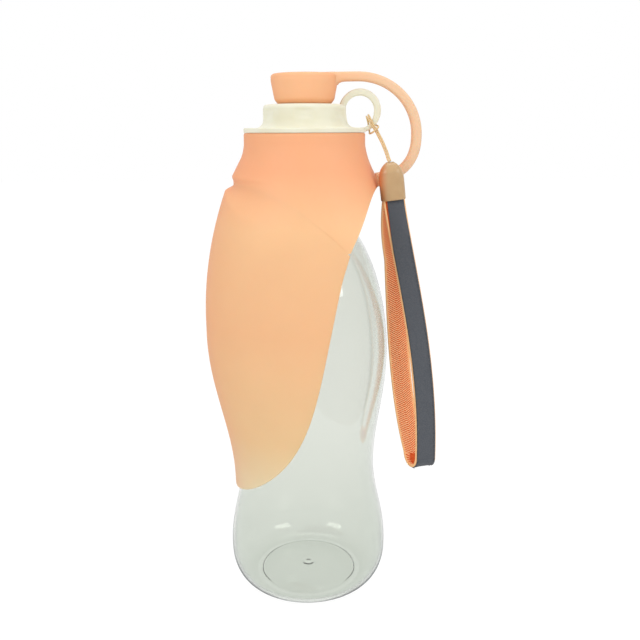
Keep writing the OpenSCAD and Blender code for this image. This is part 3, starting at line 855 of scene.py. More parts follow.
@dataclass(frozen=True)
class Bottle:
    """The clear bottle: one lathed skin, inside and out, with its thread."""

    base_r: float = 38.7
    waist_r: float = 32.8
    waist_z: float = 62
    belly_r: float = 38.5
    belly_z: float = 118
    shoulder_h: float = 72
    neck_blend: float = 2.0
    base_z: float = 20
    heel_h: float = 18
    heel_power: float = 2.2
    foot_r: float = 26.5
    foot_in: float = 23.5
    wall: float = 1.1
    neck_r: float = 20.2
    neck_wall: float = 1.7
    thick_below: float = 25
    thick_over: float = 20
    height: float = 216.6
    carry_z: float = 196.1
    carry_r: float = 22.8
    carry_t: float = 1.6
    punt: float = 3.4
    step: float = 0.8
    floor_low: float = 1.3
    gate_r: float = 3.2
    gate_dip: float = 0.35
    nub_r: float = 1.6
    nub_h: float = 0.25
    pitch: float = 4.0
    turns: float = 1.5
    thread_h: float = 1.2
    thread_below: float = 11

    def radius(self, z: float) -> float:
        """Outside radius of the body at a height above the heel."""
        if z < self.base_z:
            return self.base_r
        if z < self.waist_z:
            return mix(self.base_r, self.waist_r, swing((z - self.base_z) / (self.waist_z - self.base_z)))
        if z < self.belly_z:
            share = (z - self.waist_z) / (self.belly_z - self.waist_z)
            return mix(self.waist_r, self.belly_r, swing(share))
        dome = self.belly_r * math.sqrt(max(0.0, 1 - ((z - self.belly_z) / self.shoulder_h) ** 2))
        return (dome + self.neck_r + math.hypot(dome - self.neck_r, self.neck_blend)) / 2

    def thickness(self, z: float) -> float:
        """Wall thickness at a height: the neck is thicker."""
        start = self.belly_z + self.shoulder_h - self.thick_below
        return mix(self.wall, self.neck_wall, ease((z - start) / self.thick_over))

    def heel(self, r0: float, r1: float, z0: float, z1: float) -> list[Pair]:
        """The heel's curve from the foot up, for either skin.

        Args:
            r0: Radius at the foot.
            r1: Radius at the heel's top.
            z0: Height of the foot.
            z1: Height of the heel's top.

        Returns:
            The curve's points.
        """
        power = 2 / self.heel_power
        angles = [math.radians(a) for a in span(0, 90, 25)]
        return [(mix(r0, r1, math.sin(a) ** power), mix(z1, z0, max(math.cos(a), 0) ** power))
                for a in angles]

    def under(self, r: float) -> float:
        """Height of the hollow under the foot, with its small gate mark."""
        dome = self.step + (self.punt - self.step) * (1 - (r / self.foot_in) ** 2)
        dip = self.gate_dip * ease((self.gate_r - r) / 0.6)
        return dome - dip + self.nub_h * ease((self.nub_r - r) / 0.8)

    def floor(self, r: float) -> float:
        """Height of the inside above the hollow, which has no gate mark there."""
        near_foot = ease((r - self.foot_in + 2.4) / 2)
        return self.under(max(r, self.gate_r + 0.4)) + self.floor_low - 0.3 * near_foot

    def profile(self) -> list[Pair]:
        """The closed outline: outer skin up, inner skin down, then the underside."""
        zs = span(self.heel_h, self.carry_z - 4, 96)[1:]
        n, bore, low, top = self.neck_r, self.neck_r - self.neck_wall, self.carry_z, self.height
        out, high = self.carry_r, self.carry_z + self.carry_t
        ring = fillet([(n, low - 2.5, 0), (n, low, 0.4), (out, low, 0.5), (out, high, 0.5), (n, high, 0.4),
                       (n, top - 3, 0)], closed=False)
        rim = fillet([(n, top - 3, 0), (n, top, 0.6), (bore, top, 0.5), (bore, top - 3, 0)], closed=False)
        outer = self.heel(self.foot_r, self.base_r, 0, self.heel_h) + [(self.radius(z), z) for z in zs]
        inner = self.heel(self.foot_r - 0.2, self.base_r - self.wall, self.floor_low, self.heel_h)
        inner += [(self.radius(z) - self.thickness(z), z) for z in zs]
        rs = span(0.02, self.foot_in - 0.4, 34)
        floor = [(r, self.floor(r)) for r in rs]
        hollow = [(r, self.under(r)) for r in rs]
        edge = self.foot_in
        foot = [(edge - 0.15, self.step * 0.5), (edge + 0.25, 0.06), (edge + 0.7, 0.0)]
        return foot + outer + ring + rim[1:] + inner[::-1] + floor[::-1] + hollow

    def build(self, clear: Material) -> None:
        """Builds the skin and the thread.

        Args:
            clear: The clear plastic.
        """
        skin = lathe("bottle_skin", self.profile(), clear, 192)
        dress(skin, Body.BOTTLE, Slot.CLEAR, "bottle")
        thread = screw_thread("neck_thread", self.neck_r, self.pitch, self.turns,
                              self.height - self.thread_below, 0, self.thread_h, clear)
        dress(thread, Body.BOTTLE, Slot.CLEAR)


# ------------------------------------------------------------------ the lid


@dataclass(frozen=True)
class Lid:
    """The ivory screw lid with its crown, spout, strap eye and inner thread."""

    bore_r: float = 22.1
    skirt_r: float = 24.8
    low_z: float = 201.6
    ceiling_z: float = 218.6
    flange_low: float = 220.3
    flange_z: float = 222.4
    flange_r: float = 27.3
    crown_r: float = 18.5
    crown_z: float = 232.4
    cavity_r: float = 16.5
    wall: float = 2.0
    spout_r: float = 10.5
    spout_bore: float = 8.9
    spout_z: float = 240.0
    bead_z: float = 212.2
    bead: float = 0.7
    bead_half: float = 1.1
    bead_ramp: float = 0.6
    grips: int = 6
    grip_half_deg: float = 14.5
    grip_depth: float = 0.9
    grip_low: float = 225.4
    grip_high: float = 231.0
    grip_fade: Pair = (2.4, 1.6)
    eye_x: float = 24.6
    eye_z: float = 229.7
    eye_in: float = 6.4
    eye_out: float = 9.4
    eye_half: float = 1.7
    eye_steps: int = 144
    eye_square: float = 0.42
    eye_root: float = 1.0
    flat_inner: Pair = (6.0, 3.4)
    flat_outer: Pair = (6.25, 2.4)
    turns: float = 1.5
    thread_z: float = 204.6
    thread_deg: float = 90
    thread_h: float = 1.2

    def grip(self, r: float, z: float, angle: float) -> float:
        """The crown's radius with its six shallow finger recesses."""
        if r < self.crown_r - 0.01 or not self.grip_low < z < self.grip_high:
            return r
        turn = 360 / self.grips
        off = (angle + 90 + turn / 2) % turn - turn / 2
        lens = max(0.0, 1 - (off / self.grip_half_deg) ** 2)
        below, above = self.grip_fade
        edge = ease((z - self.grip_low) / below) * ease((self.grip_high - z) / above)
        return r - self.grip_depth * lens * edge

    def profile(self) -> list[Pair]:
        """The closed outline of the lid."""
        low, high, ramp = self.bead_z - self.bead_half, self.bead_z + self.bead_half, self.bead_ramp
        skirt, groove, roof = self.skirt_r, self.skirt_r - self.bead, self.crown_z - self.wall
        return refine(fillet([
            (self.cavity_r, self.ceiling_z, 0.3), (self.bore_r, self.ceiling_z, 0.4),
            (self.bore_r, self.low_z, 0.8), (skirt, self.low_z, 0.5), (skirt, low - ramp, 0.2),
            (groove, low, 0.2), (groove, high, 0.2), (skirt, high + ramp, 0.2), (skirt, self.flange_low, 0.2),
            (self.flange_r, self.flange_low, 0.35), (self.flange_r, self.flange_z, 0.6),
            (self.crown_r, self.flange_z, 3.4), (self.crown_r, self.crown_z, 1.8),
            (self.spout_r, self.crown_z, 0.5), (self.spout_r, self.spout_z, 0.5),
            (self.spout_bore, self.spout_z, 0.5), (self.spout_bore, roof, 0.4),
            (self.cavity_r, roof, 0.8)], 7), 0.45)

    def eye_reach(self, angle: float) -> float:
        """How far the eye's plate reaches: round, with a flat foot and a root in the crown.

        Args:
            angle: The direction from the eye's centre, in radians.

        Returns:
            The distance from the centre.
        """
        c, s = math.cos(angle), math.sin(angle)
        to_crown = (self.eye_x - self.crown_r + self.eye_root) / max(1e-6, -c)
        reach = self.eye_out
        if s < -0.2 and c < 0.24:
            reach = max(reach, min(self.eye_out / abs(s), to_crown))
        if c < 0 and self.eye_z + reach * s < self.crown_z - 0.2:
            reach = min(reach, to_crown)
        return reach

    def eye_hole(self, angle: float) -> float:
        """How far the eye's hole reaches: round above, flat with round corners below.

        Args:
            angle: The direction from the eye's centre, in radians.

        Returns:
            The distance from the centre.
        """
        c, s = math.cos(angle), math.sin(angle)
        if s >= 0:
            return self.eye_in
        half, power = self.flat_outer if c > 0 else self.flat_inner
        drop = self.eye_z - self.flange_z
        flat = (abs(c / half) ** power + abs(s / drop) ** power) ** (-1 / power)
        return mix(self.eye_in, flat, ease(-s / 0.35))

    def eye(self, ivory: Material) -> Piece:
        """Builds the strap eye: a ring with rounded edges on a tongue of the flange.

        Args:
            ivory: The lid's plastic.

        Returns:
            The new piece.
        """
        rings = []
        for k in range(self.eye_steps):
            angle = 2 * math.pi * k / self.eye_steps
            low, high = self.eye_hole(angle), self.eye_reach(angle)
            middle = (low + high) / 2
            section = squared_oval((high - low) / 2, self.eye_half, self.eye_square, 24)
            rings.append([(self.eye_x + (middle + a) * math.cos(angle), b,
                           self.eye_z + (middle + a) * math.sin(angle)) for a, b in section])
        return loft("strap_eye", rings, ivory, cyclic=True, sharp=math.radians(60))

    def build(self, ivory: Material) -> None:
        """Builds the shell, the eye and the inner thread.

        Args:
            ivory: The lid's plastic.
        """
        shell = lathe("lid_shell", self.profile(), ivory, 240, self.grip)
        dress(shell, Body.LID, Slot.LID, "lid")
        dress(self.eye(ivory), Body.LID, Slot.LID)
        thread = screw_thread("lid_thread", self.bore_r, Bottle.pitch, self.turns, self.thread_z,
                              self.thread_deg, -self.thread_h, ivory)
        dress(thread, Body.LID, Slot.LID)


# ------------------------------------------------------------------ the silicone


@dataclass(frozen=True)
class Skin:
    """The silicone's common form: a tube at the lid that opens into the leaf's trough."""

    bottle: Bottle = Bottle()
    top_z: float = 220.2
    straight_h: float = 4.0
    flare_h: float = 16.0
    flare_power: float = 1.7
    fold_z: float = 198.2
    grip_r: float = 24.9
    grip_t: float = 2.4
    rim_r: float = 33.0
    leaf_t: float = 1.5
    leaf_gap: float = 1.0
    leaf_l: float = 146.5
    pocket: float = 9.0
    drop: float = 27.0
    curl: float = 3.2
    rim_z: float = 197.8
    neck_out: float = 0.8
    neck_cut: float = 0.55
    far_out: float = 0.9
    knee_up: float = 17.0
    knee_round: float = 6.0
    sweep: float = 31.6
    sweep_h: float = 26.5
    sweep_power: float = 0.86
    lean: float = 0.191
    kick: float = 0.6
    kick_h: float = 16.0
    tip_cut: float = 0.9
    row_power: float = 1.35
    sag: float = 0.4
    step_h: float = 2.8
    step_h_side: float = 10.0

    @property
    def tip_z(self) -> float:
        """Height of the leaf's tip."""
        return self.fold_z - self.leaf_l

    @property
    def corner_z(self) -> float:
        """Height where the fold meets the leaf's front edge."""
        return self.fold_z - self.drop

    @property
    def half_w(self) -> float:
        """Half the leaf's full width."""
        return self.bottle.belly_r + self.leaf_gap + self.leaf_t

    @property
    def full_z(self) -> float:
        """Height below which the leaf has its full width."""
        return self.corner_z - 3

    @property
    def corner_w(self) -> float:
        """Section angle of the fold's front corner."""
        return 90 + math.degrees(self.front_x(self.corner_z) / self.half_w)

    def collar_r(self, z: float) -> float:
        """Outside radius of the collar at a height."""
        snug = self.grip_r + self.grip_t
        share = max(0.0, (self.top_z - self.straight_h - z) / self.flare_h)
        return snug + (self.rim_r - snug) * share ** self.flare_power

    def back_r(self, z: float) -> float:
        """How far the collar's back stands out, drawn in a little just above the fold."""
        out = self.collar_r(z) + self.neck_out * ease((self.fold_z + 13.8 - z) / 8)
        return min(self.rim_r, out) - self.neck_cut * ease((self.fold_z + 2.8 - z) / 1.8)

    def far_r(self, z: float) -> float:
        """How far the collar's other side stands out, where the tether starts."""
        out = self.collar_r(z) + self.far_out * ease((self.fold_z + 10.8 - z) / 8)
        return min(self.half_y(z) - 0.2, out)

    def half_y(self, z: float) -> float:
        """Half width at a height."""
        if z > self.fold_z + 2:
            return self.collar_r(z)
        if z > self.full_z:
            share = (z - self.full_z) / (self.fold_z + 2 - self.full_z)
            return mix(self.half_w, self.collar_r(self.fold_z + 2), share ** 2)
        if z < self.bottle.belly_z:
            return min(self.half_w, self.bottle.radius(z) + self.leaf_gap + self.leaf_t)
        return self.half_w

    def back_x(self, z: float) -> float:
        """How far the leaf's back stands out."""
        far = self.bottle.belly_r + self.pocket
        knee = self.bottle.belly_z + self.knee_up
        if z > knee:
            return far - (far - self.rim_r - 3) * ((z - knee) / (self.fold_z - 2 - knee)) ** 2
        near = self.bottle.radius(self.tip_z) + self.leaf_gap + self.leaf_t
        start = knee - self.knee_round
        return mix(far, near, swing((start - z) / (start - self.tip_z - 1)))

    def front_x(self, z: float) -> float:
        """Where the leaf's front edge runs, seen from the side."""
        u = z - self.tip_z
        start = -self.bottle.radius(self.tip_z) - self.leaf_gap - self.leaf_t
        kick = self.kick * ease((z - self.corner_z + self.kick_h) / self.kick_h)
        bow = self.sweep * math.tanh(max(0.0, u) / self.sweep_h) ** self.sweep_power
        return start + bow + self.lean * u + kick

    def fold_at(self, x: float) -> float:
        """Height of the fold where the section reaches x."""
        bend = self.drop / (self.rim_r + self.front_x(self.corner_z)) ** 2
        return self.fold_z - bend * max(0.0, x + self.rim_r) ** 2

    def fold_x(self, w: float) -> float:
        """The x that the fold line reaches at a section angle."""
        if w <= 90:
            return -self.rim_r * math.cos(math.radians(w))
        return self.half_w * math.radians(w - 90)

    def low_edge(self, w: float) -> float:
        """Height of the collar's lower edge at a section angle."""
        if w < self.corner_w:
            return self.fold_at(self.fold_x(w))
        share = (180 - w) / (180 - self.corner_w)
        return self.rim_z - (self.rim_z - self.corner_z) * share ** self.curl

    def section(self, w: float, z: float, out: float, half: float, arm: float) -> Point:
        """A point of the section.

        Args:
            w: The section angle: 0 at the back, 90 at the front, 180 opposite.
            z: The height.
            out: How far the back stands out.
            half: Half the width.
            arm: 0 where the section is round past the front, 1 where it runs straight.

        Returns:
            The point, on the side of positive Y.
        """
        a = math.radians(w)
        x, y = -out * math.cos(a), half * math.sin(a)
        if w <= 90:
            return x, y, z
        return mix(x, half * (a - math.pi / 2), arm), mix(y, half, arm), z

    def collar_point(self, w: float, z: float, inset: float) -> Point:
        """A point of the collar.

        Args:
            w: The turn from the back, 0 to 360 degrees.
            z: The height.
            inset: How far it lies in from the outside.

        Returns:
            The point.
        """
        v = min(w, 360 - w)
        above = ease((z - self.full_z) / (self.fold_z - self.full_z))
        arm = (1 - above) * ease((180 - v) / (180 - self.corner_w))
        out = self.back_r(z) if v <= 90 else self.far_r(z)
        x, y, z = self.section(v, z, out - inset, self.half_y(z) - inset, arm)
        return x, (y if w > 180 else -y), z

    def edge_w(self, z: float) -> float:
        """Section angle of the leaf's front edge at a height."""
        x = self.front_x(z)
        if x < 0:
            return max(12.0, math.degrees(math.acos(clamp01(-x / self.back_x(z)))))
        return 90 + math.degrees(x / self.half_y(z))

    def leaf_point(self, s: float, t: float, inset: float) -> Point:
        """A point of the leaf.

        Args:
            s: -1 at one edge, 1 at the other.
            t: 0 at the tip, 1 at the fold.
            inset: How far it lies in from the outside.

        Returns:
            The point.
        """
        z0 = mix(self.tip_z + self.tip_cut, self.corner_z, t ** self.row_power)
        w = s * self.edge_w(z0)
        v = abs(w)
        top = self.fold_at(self.fold_x(min(v, self.corner_w)))
        sag = self.sag * (1 - s * s) * (1 - ease(t * 8))
        z = z0 + (top - self.corner_z) * t ** 3 - sag
        step_h = self.step_h + self.step_h_side * ease(v / 60)
        out = mix(self.back_r(z), self.back_x(z), ease((top - z - 0.4) / step_h))
        x, y, z = self.section(v, z, out - inset, self.half_y(z) - inset, 1.0)
        return x, (-y if w < 0 else y), z


@dataclass(frozen=True)
class Collar:
    """The tube that snaps round the lid's skirt, with a bead inside."""

    skin: Skin
    columns: int = 240
    rows: int = 46
    thick_h: float = 13.0
    bead_z: float = Lid.bead_z
    bead_h: float = 0.6
    bead_half: float = 1.4

    def build(self, silicone: Material) -> None:
        """Builds the collar.

        Args:
            silicone: The silicone.
        """
        k = self.skin
        thick_z = k.top_z - self.thick_h
        loops = []
        for i in range(self.columns):
            w = 360 * i / self.columns
            low = k.low_edge(min(w, 360 - w))
            outer, inner = [], []
            for j in range(self.rows):
                z = mix(k.top_z, low, j / (self.rows - 1))
                share = clamp01((thick_z - z) / max(0.5, thick_z - low))
                thick = mix(k.grip_t, k.leaf_t, share)
                bead = self.bead_h * ease(1 - abs(z - self.bead_z) / self.bead_half)
                round_top = 0.45 * (1 - ease((k.top_z - z) / 0.9)) ** 2
                outer.append(k.collar_point(w, z, round_top))
                inner.append(k.collar_point(w, z, thick + bead))
            loops.append(outer + inner[::-1])
        dress(loft("silicone_collar", loops, silicone, cyclic=True), Body.LID, Slot.SILICONE, "bowl_collar")


@dataclass(frozen=True)
class Leaf:
    """The leaf-shaped bowl, with rounded thin edges."""

    skin: Skin
    columns: int = 96
    edge_share: float = 0.6
    lip_steps: tuple = (0.17, 0.34, 0.5, 0.66, 0.83)

    def heights(self) -> list[float]:
        """Rows from tip to fold, closer together near the fold."""
        return span(0, 0.95, 120) + span(0.95, 1.0, 26)[1:]

    def build(self, silicone: Material) -> None:
        """Builds the leaf.

        Args:
            silicone: The silicone.
        """
        k = self.skin
        cols = [math.sin(math.pi / 2 * s) * 0.35 + s * 0.65 for s in span(-1, 1, self.columns)]
        loops = []
        for t in self.heights():
            outer = [k.leaf_point(s, t, 0) for s in cols]
            inner = [k.leaf_point(s, t, self.thickness(s, t)) for s in cols]
            loops.append(outer + self.lip(outer, inner, -1) + inner[::-1] + self.lip(inner, outer, 0))
        loops = [self.shrunk(loops[0], 0.5, 0.45), self.shrunk(loops[0], 0.16, 0.2)] + loops
        dress(loft("silicone_leaf", loops, silicone, caps=True), Body.LEAF, Slot.SILICONE, "leaf_bowl")

    def thickness(self, s: float, t: float) -> float:
        """Wall thickness at a place of the leaf: thinner along the edges and at the tip."""
        inside = ease(min((1 - abs(s)) * 9, t * 12 + 0.2))
        return self.skin.leaf_t * mix(self.edge_share, 1, inside)

    def lip(self, here: list[Point], there: list[Point], end: int) -> list[Point]:
        """A rounded lip from one skin's end to the other's.

        Args:
            here: The skin the lip starts from.
            there: The skin it ends on.
            end: Which end of the rows it joins, 0 or -1.

        Returns:
            The lip's points between them.
        """
        a, b = Vector(here[end]), Vector(there[end])
        inward = Vector(here[1 if end == 0 else -2]) - a
        middle, reach = (a + b) / 2, (a - b).length / 2
        across = (a - b).normalized()
        away = -(inward - across * inward.dot(across)).normalized()
        return [tuple(middle + across * reach * math.cos(q) + away * reach * 0.9 * math.sin(q))
                for q in (math.pi * f for f in self.lip_steps)]

    def shrunk(self, loop: list[Point], share: float, drop: float) -> list[Point]:
        """A loop drawn in towards its own middle line, to round the tip.

        Args:
            loop: The loop.
            share: How far each point goes towards the one opposite.
            drop: How far the loop is lowered.

        Returns:
            The new loop.
        """
        n, lip = len(loop), len(self.lip_steps)
        out = []
        for i, p in enumerate(loop):
            mate = loop[(n - lip - 1 - i) % n]
            q = Vector(p).lerp(Vector(mate), share)
            out.append((q.x, q.y, q.z - drop))
        return out


@dataclass(frozen=True)
class Tether:
    """The band that arches from the stopper to the collar's corner."""

    start_x: float = 5.0
    arch_x: float = 23.8
    top_z: float = 244.2
    reach: float = 26.3
    rise: float = 25.0
    drop: float = 20.5
    low_square: float = 0.81
    end_deg: float = 73.7
    thick: float = 4.1
    low_thick: float = 4.5
    wide: float = 6.0
    root_x: float = 14.7
    root_swell: float = 1.5
    end_swell: float = 1.8
    end_swell_deg: float = 17.0
    flare: float = 1.3
    flare_x: float = 12.5
    flare_run: float = 2.6

    def stations(self) -> list[tuple[float, float, float, float]]:
        """Centre X, centre Z, outward angle in degrees and thickness along the band."""
        out = []
        for t in span(0, 1, 24)[:-1]:
            x = mix(self.start_x, self.arch_x, t)
            swell = self.root_swell * math.exp(-max(0.0, x - self.root_x) / 0.9)
            z = mix(self.top_z - 0.3, self.top_z, ease(t))
            out.append((x, z - swell / 2, 90.0, self.thick + swell))
        for a in span(90, -self.end_deg, 84):
            power, drop = (self.low_square, self.drop) if a < 0 else (1.0, self.rise)
            c = max(math.cos(math.radians(a)), 0.0) ** power
            s = math.copysign(abs(math.sin(math.radians(a))) ** power, a)
            steep = 2 / power - 1
            normal = math.atan2(math.copysign(abs(s) ** steep, s) * self.reach, c ** steep * drop)
            swell = self.end_swell * ease((self.end_swell_deg - self.end_deg - a) / 16)
            thick = mix(self.thick, self.low_thick, clamp01((60 - a) / 60)) + swell
            out.append((self.arch_x + self.reach * c - swell * 0.4, self.top_z - self.rise + drop * s,
                        math.degrees(normal), thick))
        return out

    def build(self, silicone: Material) -> None:
        """Builds the band between the lid and the stopper, as a mesh with no parent.

        Args:
            silicone: The silicone.
        """
        rings = []
        for x, z, angle, thick in self.stations():
            c, s = math.cos(math.radians(angle)), math.sin(math.radians(angle))
            on_stopper = ease((z - self.top_z + 9.2) / 5)
            fade = math.exp(-max(0.0, x - self.flare_x) / self.flare_run)
            flare = 1 + self.flare * fade * on_stopper
            section = squared_oval(thick / 2, self.wide / 2 * flare, 0.55, 28)
            rings.append([(x + a * c, b, z + a * s) for a, b in section])
        band = loft("silicone_tether", rings, silicone, caps=True)
        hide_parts("tether")
        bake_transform(band)
        LOG.info("%s bends from lid to stopper", band.name)


@dataclass(frozen=True)
class Stopper:
    """The stopper with its plug and the hollow that covers the spout."""

    low_z: float = 232.7
    top_z: float = 245.3
    top_r: float = 14.8
    low_r: float = 13.3
    foot_in: float = 1.4
    foot_up: float = 1.7
    crown: float = 0.15
    plug_r: float = 8.8
    plug_z: float = 234.7
    roof_z: float = 240.3
    hollow_r: float = 10.6

    def build(self, silicone: Material) -> None:
        """Builds the stopper.

        Args:
            silicone: The silicone.
        """
        low, top = self.low_z, self.top_z
        profile = refine(fillet([
            (0.02, self.plug_z, 0), (self.plug_r, self.plug_z, 0.9), (self.plug_r, self.roof_z, 0.2),
            (self.hollow_r, self.roof_z, 0.3), (self.hollow_r, low, 0.3),
            (self.low_r - self.foot_in, low, 1.3), (self.low_r, low + self.foot_up, 3),
            (self.top_r, top - 3, 6), (self.top_r, top, 3.4), (0.02, top + self.crown, 0)],
            10, closed=False), 0.7, closed=False)
        dress(lathe("silicone_stopper", profile, silicone, 128), Body.STOPPER, Slot.SILICONE, "stopper")


# ------------------------------------------------------------------ cord and strap


@dataclass(frozen=True)
class WristCord:
    """The thin cord that is hitched on the strap eye and runs down into the bell."""

    eye_x: float = Lid.eye_x
    eye_z: float = Lid.eye_z
    hitch_deg: float = -50
    diameter: float = 0.8
    sides: int = 12
    up: tuple = (
        (24.7, -4.4, -13.4), (23.3, -3.9, -12.5), (21.0, -2.9, -10.9), (17.0, -1.5, -8.1),
        (14.0, -0.7, -5.5), (11.2, 0, -3.0), (8.5, 0.3, -2.5), (6.6, 0.7, -2.4), (5.6, 0.9, -2.1),
        (4.5, 1.1, -1.3), (3.9, 1.2, 0), (4.5, 1.1, 1.3), (5.6, 0.8, 2.1), (7.0, 0.4, 2.4), (8.8, 0, 2.4),
        (9.7, -0.2, 2.1), (10.1, -0.3, 1.5), (10.3, -0.4, 0.2), (10.5, -0.5, -1.4), (10.7, -0.4, -3.1),
        (10.8, -0.2, -4.0))
    side: tuple = (0.46, 0.46, 0.45, 0.42, 0.42, 0.42, 0.42, 0.44, 0.46, 0.5, 0.52, 0.56, 0.7, 1.0,
                   1.6, 2.0, 2.2, 2.4, 2.4, 2.0, 1.0)
    bar: tuple = (10.8, 0, -4.15)

    def place(self, p: Sequence[float], side: float) -> Point:
        """A point of the route.

        Args:
            p: How far it is from the eye outwards, then across, then along Y.
            side: How far its strand lies to one side.

        Returns:
            The point.
        """
        a = math.radians(self.hitch_deg)
        t = p[1] + side
        return (self.eye_x + p[0] * math.cos(a) - t * math.sin(a), p[2],
                self.eye_z + p[0] * math.sin(a) + t * math.cos(a))

    def route(self) -> list[Point]:
        """The chosen points, up one strand, round the eye and back."""
        one = [self.place(p, -s) for p, s in zip(self.up, self.side)]
        two = [self.place(p, s) for p, s in zip(self.up, self.side)]
        return one + [self.place(self.bar, 0)] + two[::-1]

    def build(self, fibre: Material) -> None:
        """Args:
            fibre: The cord's fibre.
        """
        path = smooth_path(self.route(), 5)
        rings = []
        for p, (_, side, normal) in zip(path, path_frames(path, Vector((0, 1, 0)), carried=True)):
            rings.append([tuple(p + (side * math.cos(q) + normal * math.sin(q)) * self.diameter / 2)
                          for q in (2 * math.pi * k / self.sides for k in range(self.sides))])
        cord = loft("hitched_cord", rings, fibre, caps=True)
        dress(cord, Body.CORD, Slot.CORD, "wrist_cord")


@dataclass(frozen=True)
class EndBell:
    """The tan bell that holds the strap's ends and the cord's knot."""

    top: Point = (37.1, -13.4, 208.0)
    lean_deg: float = 6.8
    length: float = 16.6
    radius: float = 5.5
    half: float = 4.15
    wall: float = 0.5
    mouth: float = 1.5
    dome: float = 8.0
    roof: float = 3.4
    inner_dome: float = 5.2
    play: float = 0.1

    def ring(self, depth: float, grow: float, half: float) -> list[Point]:
        """A squared ring of the bell.

        Args:
            depth: How far it lies below the bell's top.
            grow: Half its width across.
            half: Half its width along Y.

        Returns:
            The ring's points.
        """
        a = math.radians(self.lean_deg)
        out = []
        for x, y in squared_oval(grow, half, 0.72, 48):
            out.append((self.top[0] + x * math.cos(a) + depth * math.sin(a), self.top[1] + y,
                        self.top[2] + x * math.sin(a) - depth * math.cos(a)))
        return out

    def dome_rings(self, turns: Pair, count: int, top: float, height: float, least: float,
                   reach: float, half: float, fill: float) -> list[list[Point]]:
        """Rings of a rounded top, for either skin.

        Args:
            turns: The first and last angle from the top, in degrees.
            count: How many rings.
            top: Depth of the dome's top.
            height: The dome's height.
            least: The smallest half width.
            reach: Half the width where the dome ends.
            half: Half the width along Y where the dome ends.
            fill: How much sooner the width along Y is full than the width across.

        Returns:
            The rings.
        """
        rings = []
        for q in span(*turns, count):
            share = math.sin(math.radians(q))
            r = max(least, reach * share)
            depth = top + height * (1 - math.cos(math.radians(q)))
            rings.append(self.ring(depth, r, min(half * min(1.0, share * fill), r)))
        return rings

    def build(self, tan: Material) -> None:
        """Builds the bell: outer skin down, inner skin up, closed at the mouth.

        Args:
            tan: The bell's plastic.
        """
        end, inner, half_in = self.length, self.radius - self.wall, self.half - self.wall
        rings = [self.ring(0.35, self.mouth, self.mouth)]
        rings += self.dome_rings((14, 90), 26, 0, self.dome, self.mouth + 0.3, self.radius, self.half, 1.12)
        for depth in span(self.dome + 0.8, end - 0.5, 14):
            share = (depth - self.dome) / (end - self.dome)
            rings.append(self.ring(depth, self.radius - 0.06 * share, self.half))
        rings.append(self.ring(end - 0.15, self.radius - 0.08, self.half - 0.06))
        rings.append(self.ring(end, self.radius - 0.22, self.half - 0.22))
        rings.append(self.ring(end, inner + 0.06, half_in + 0.06))
        inner -= self.play
        for depth in span(end - 0.3, self.roof + self.inner_dome, 10):
            rings.append(self.ring(depth, inner, half_in - 0.05))
        rings += self.dome_rings((80, 20), 8, self.roof, self.inner_dome, self.mouth, inner, half_in, 1.1)
        rings.append(self.ring(self.roof, self.mouth, self.mouth))
        bell = loft("strap_end_bell", rings, tan, cyclic=True, sharp=math.radians(55))
        dress(bell, Body.STRAP, Slot.BELL, "strap_bell")


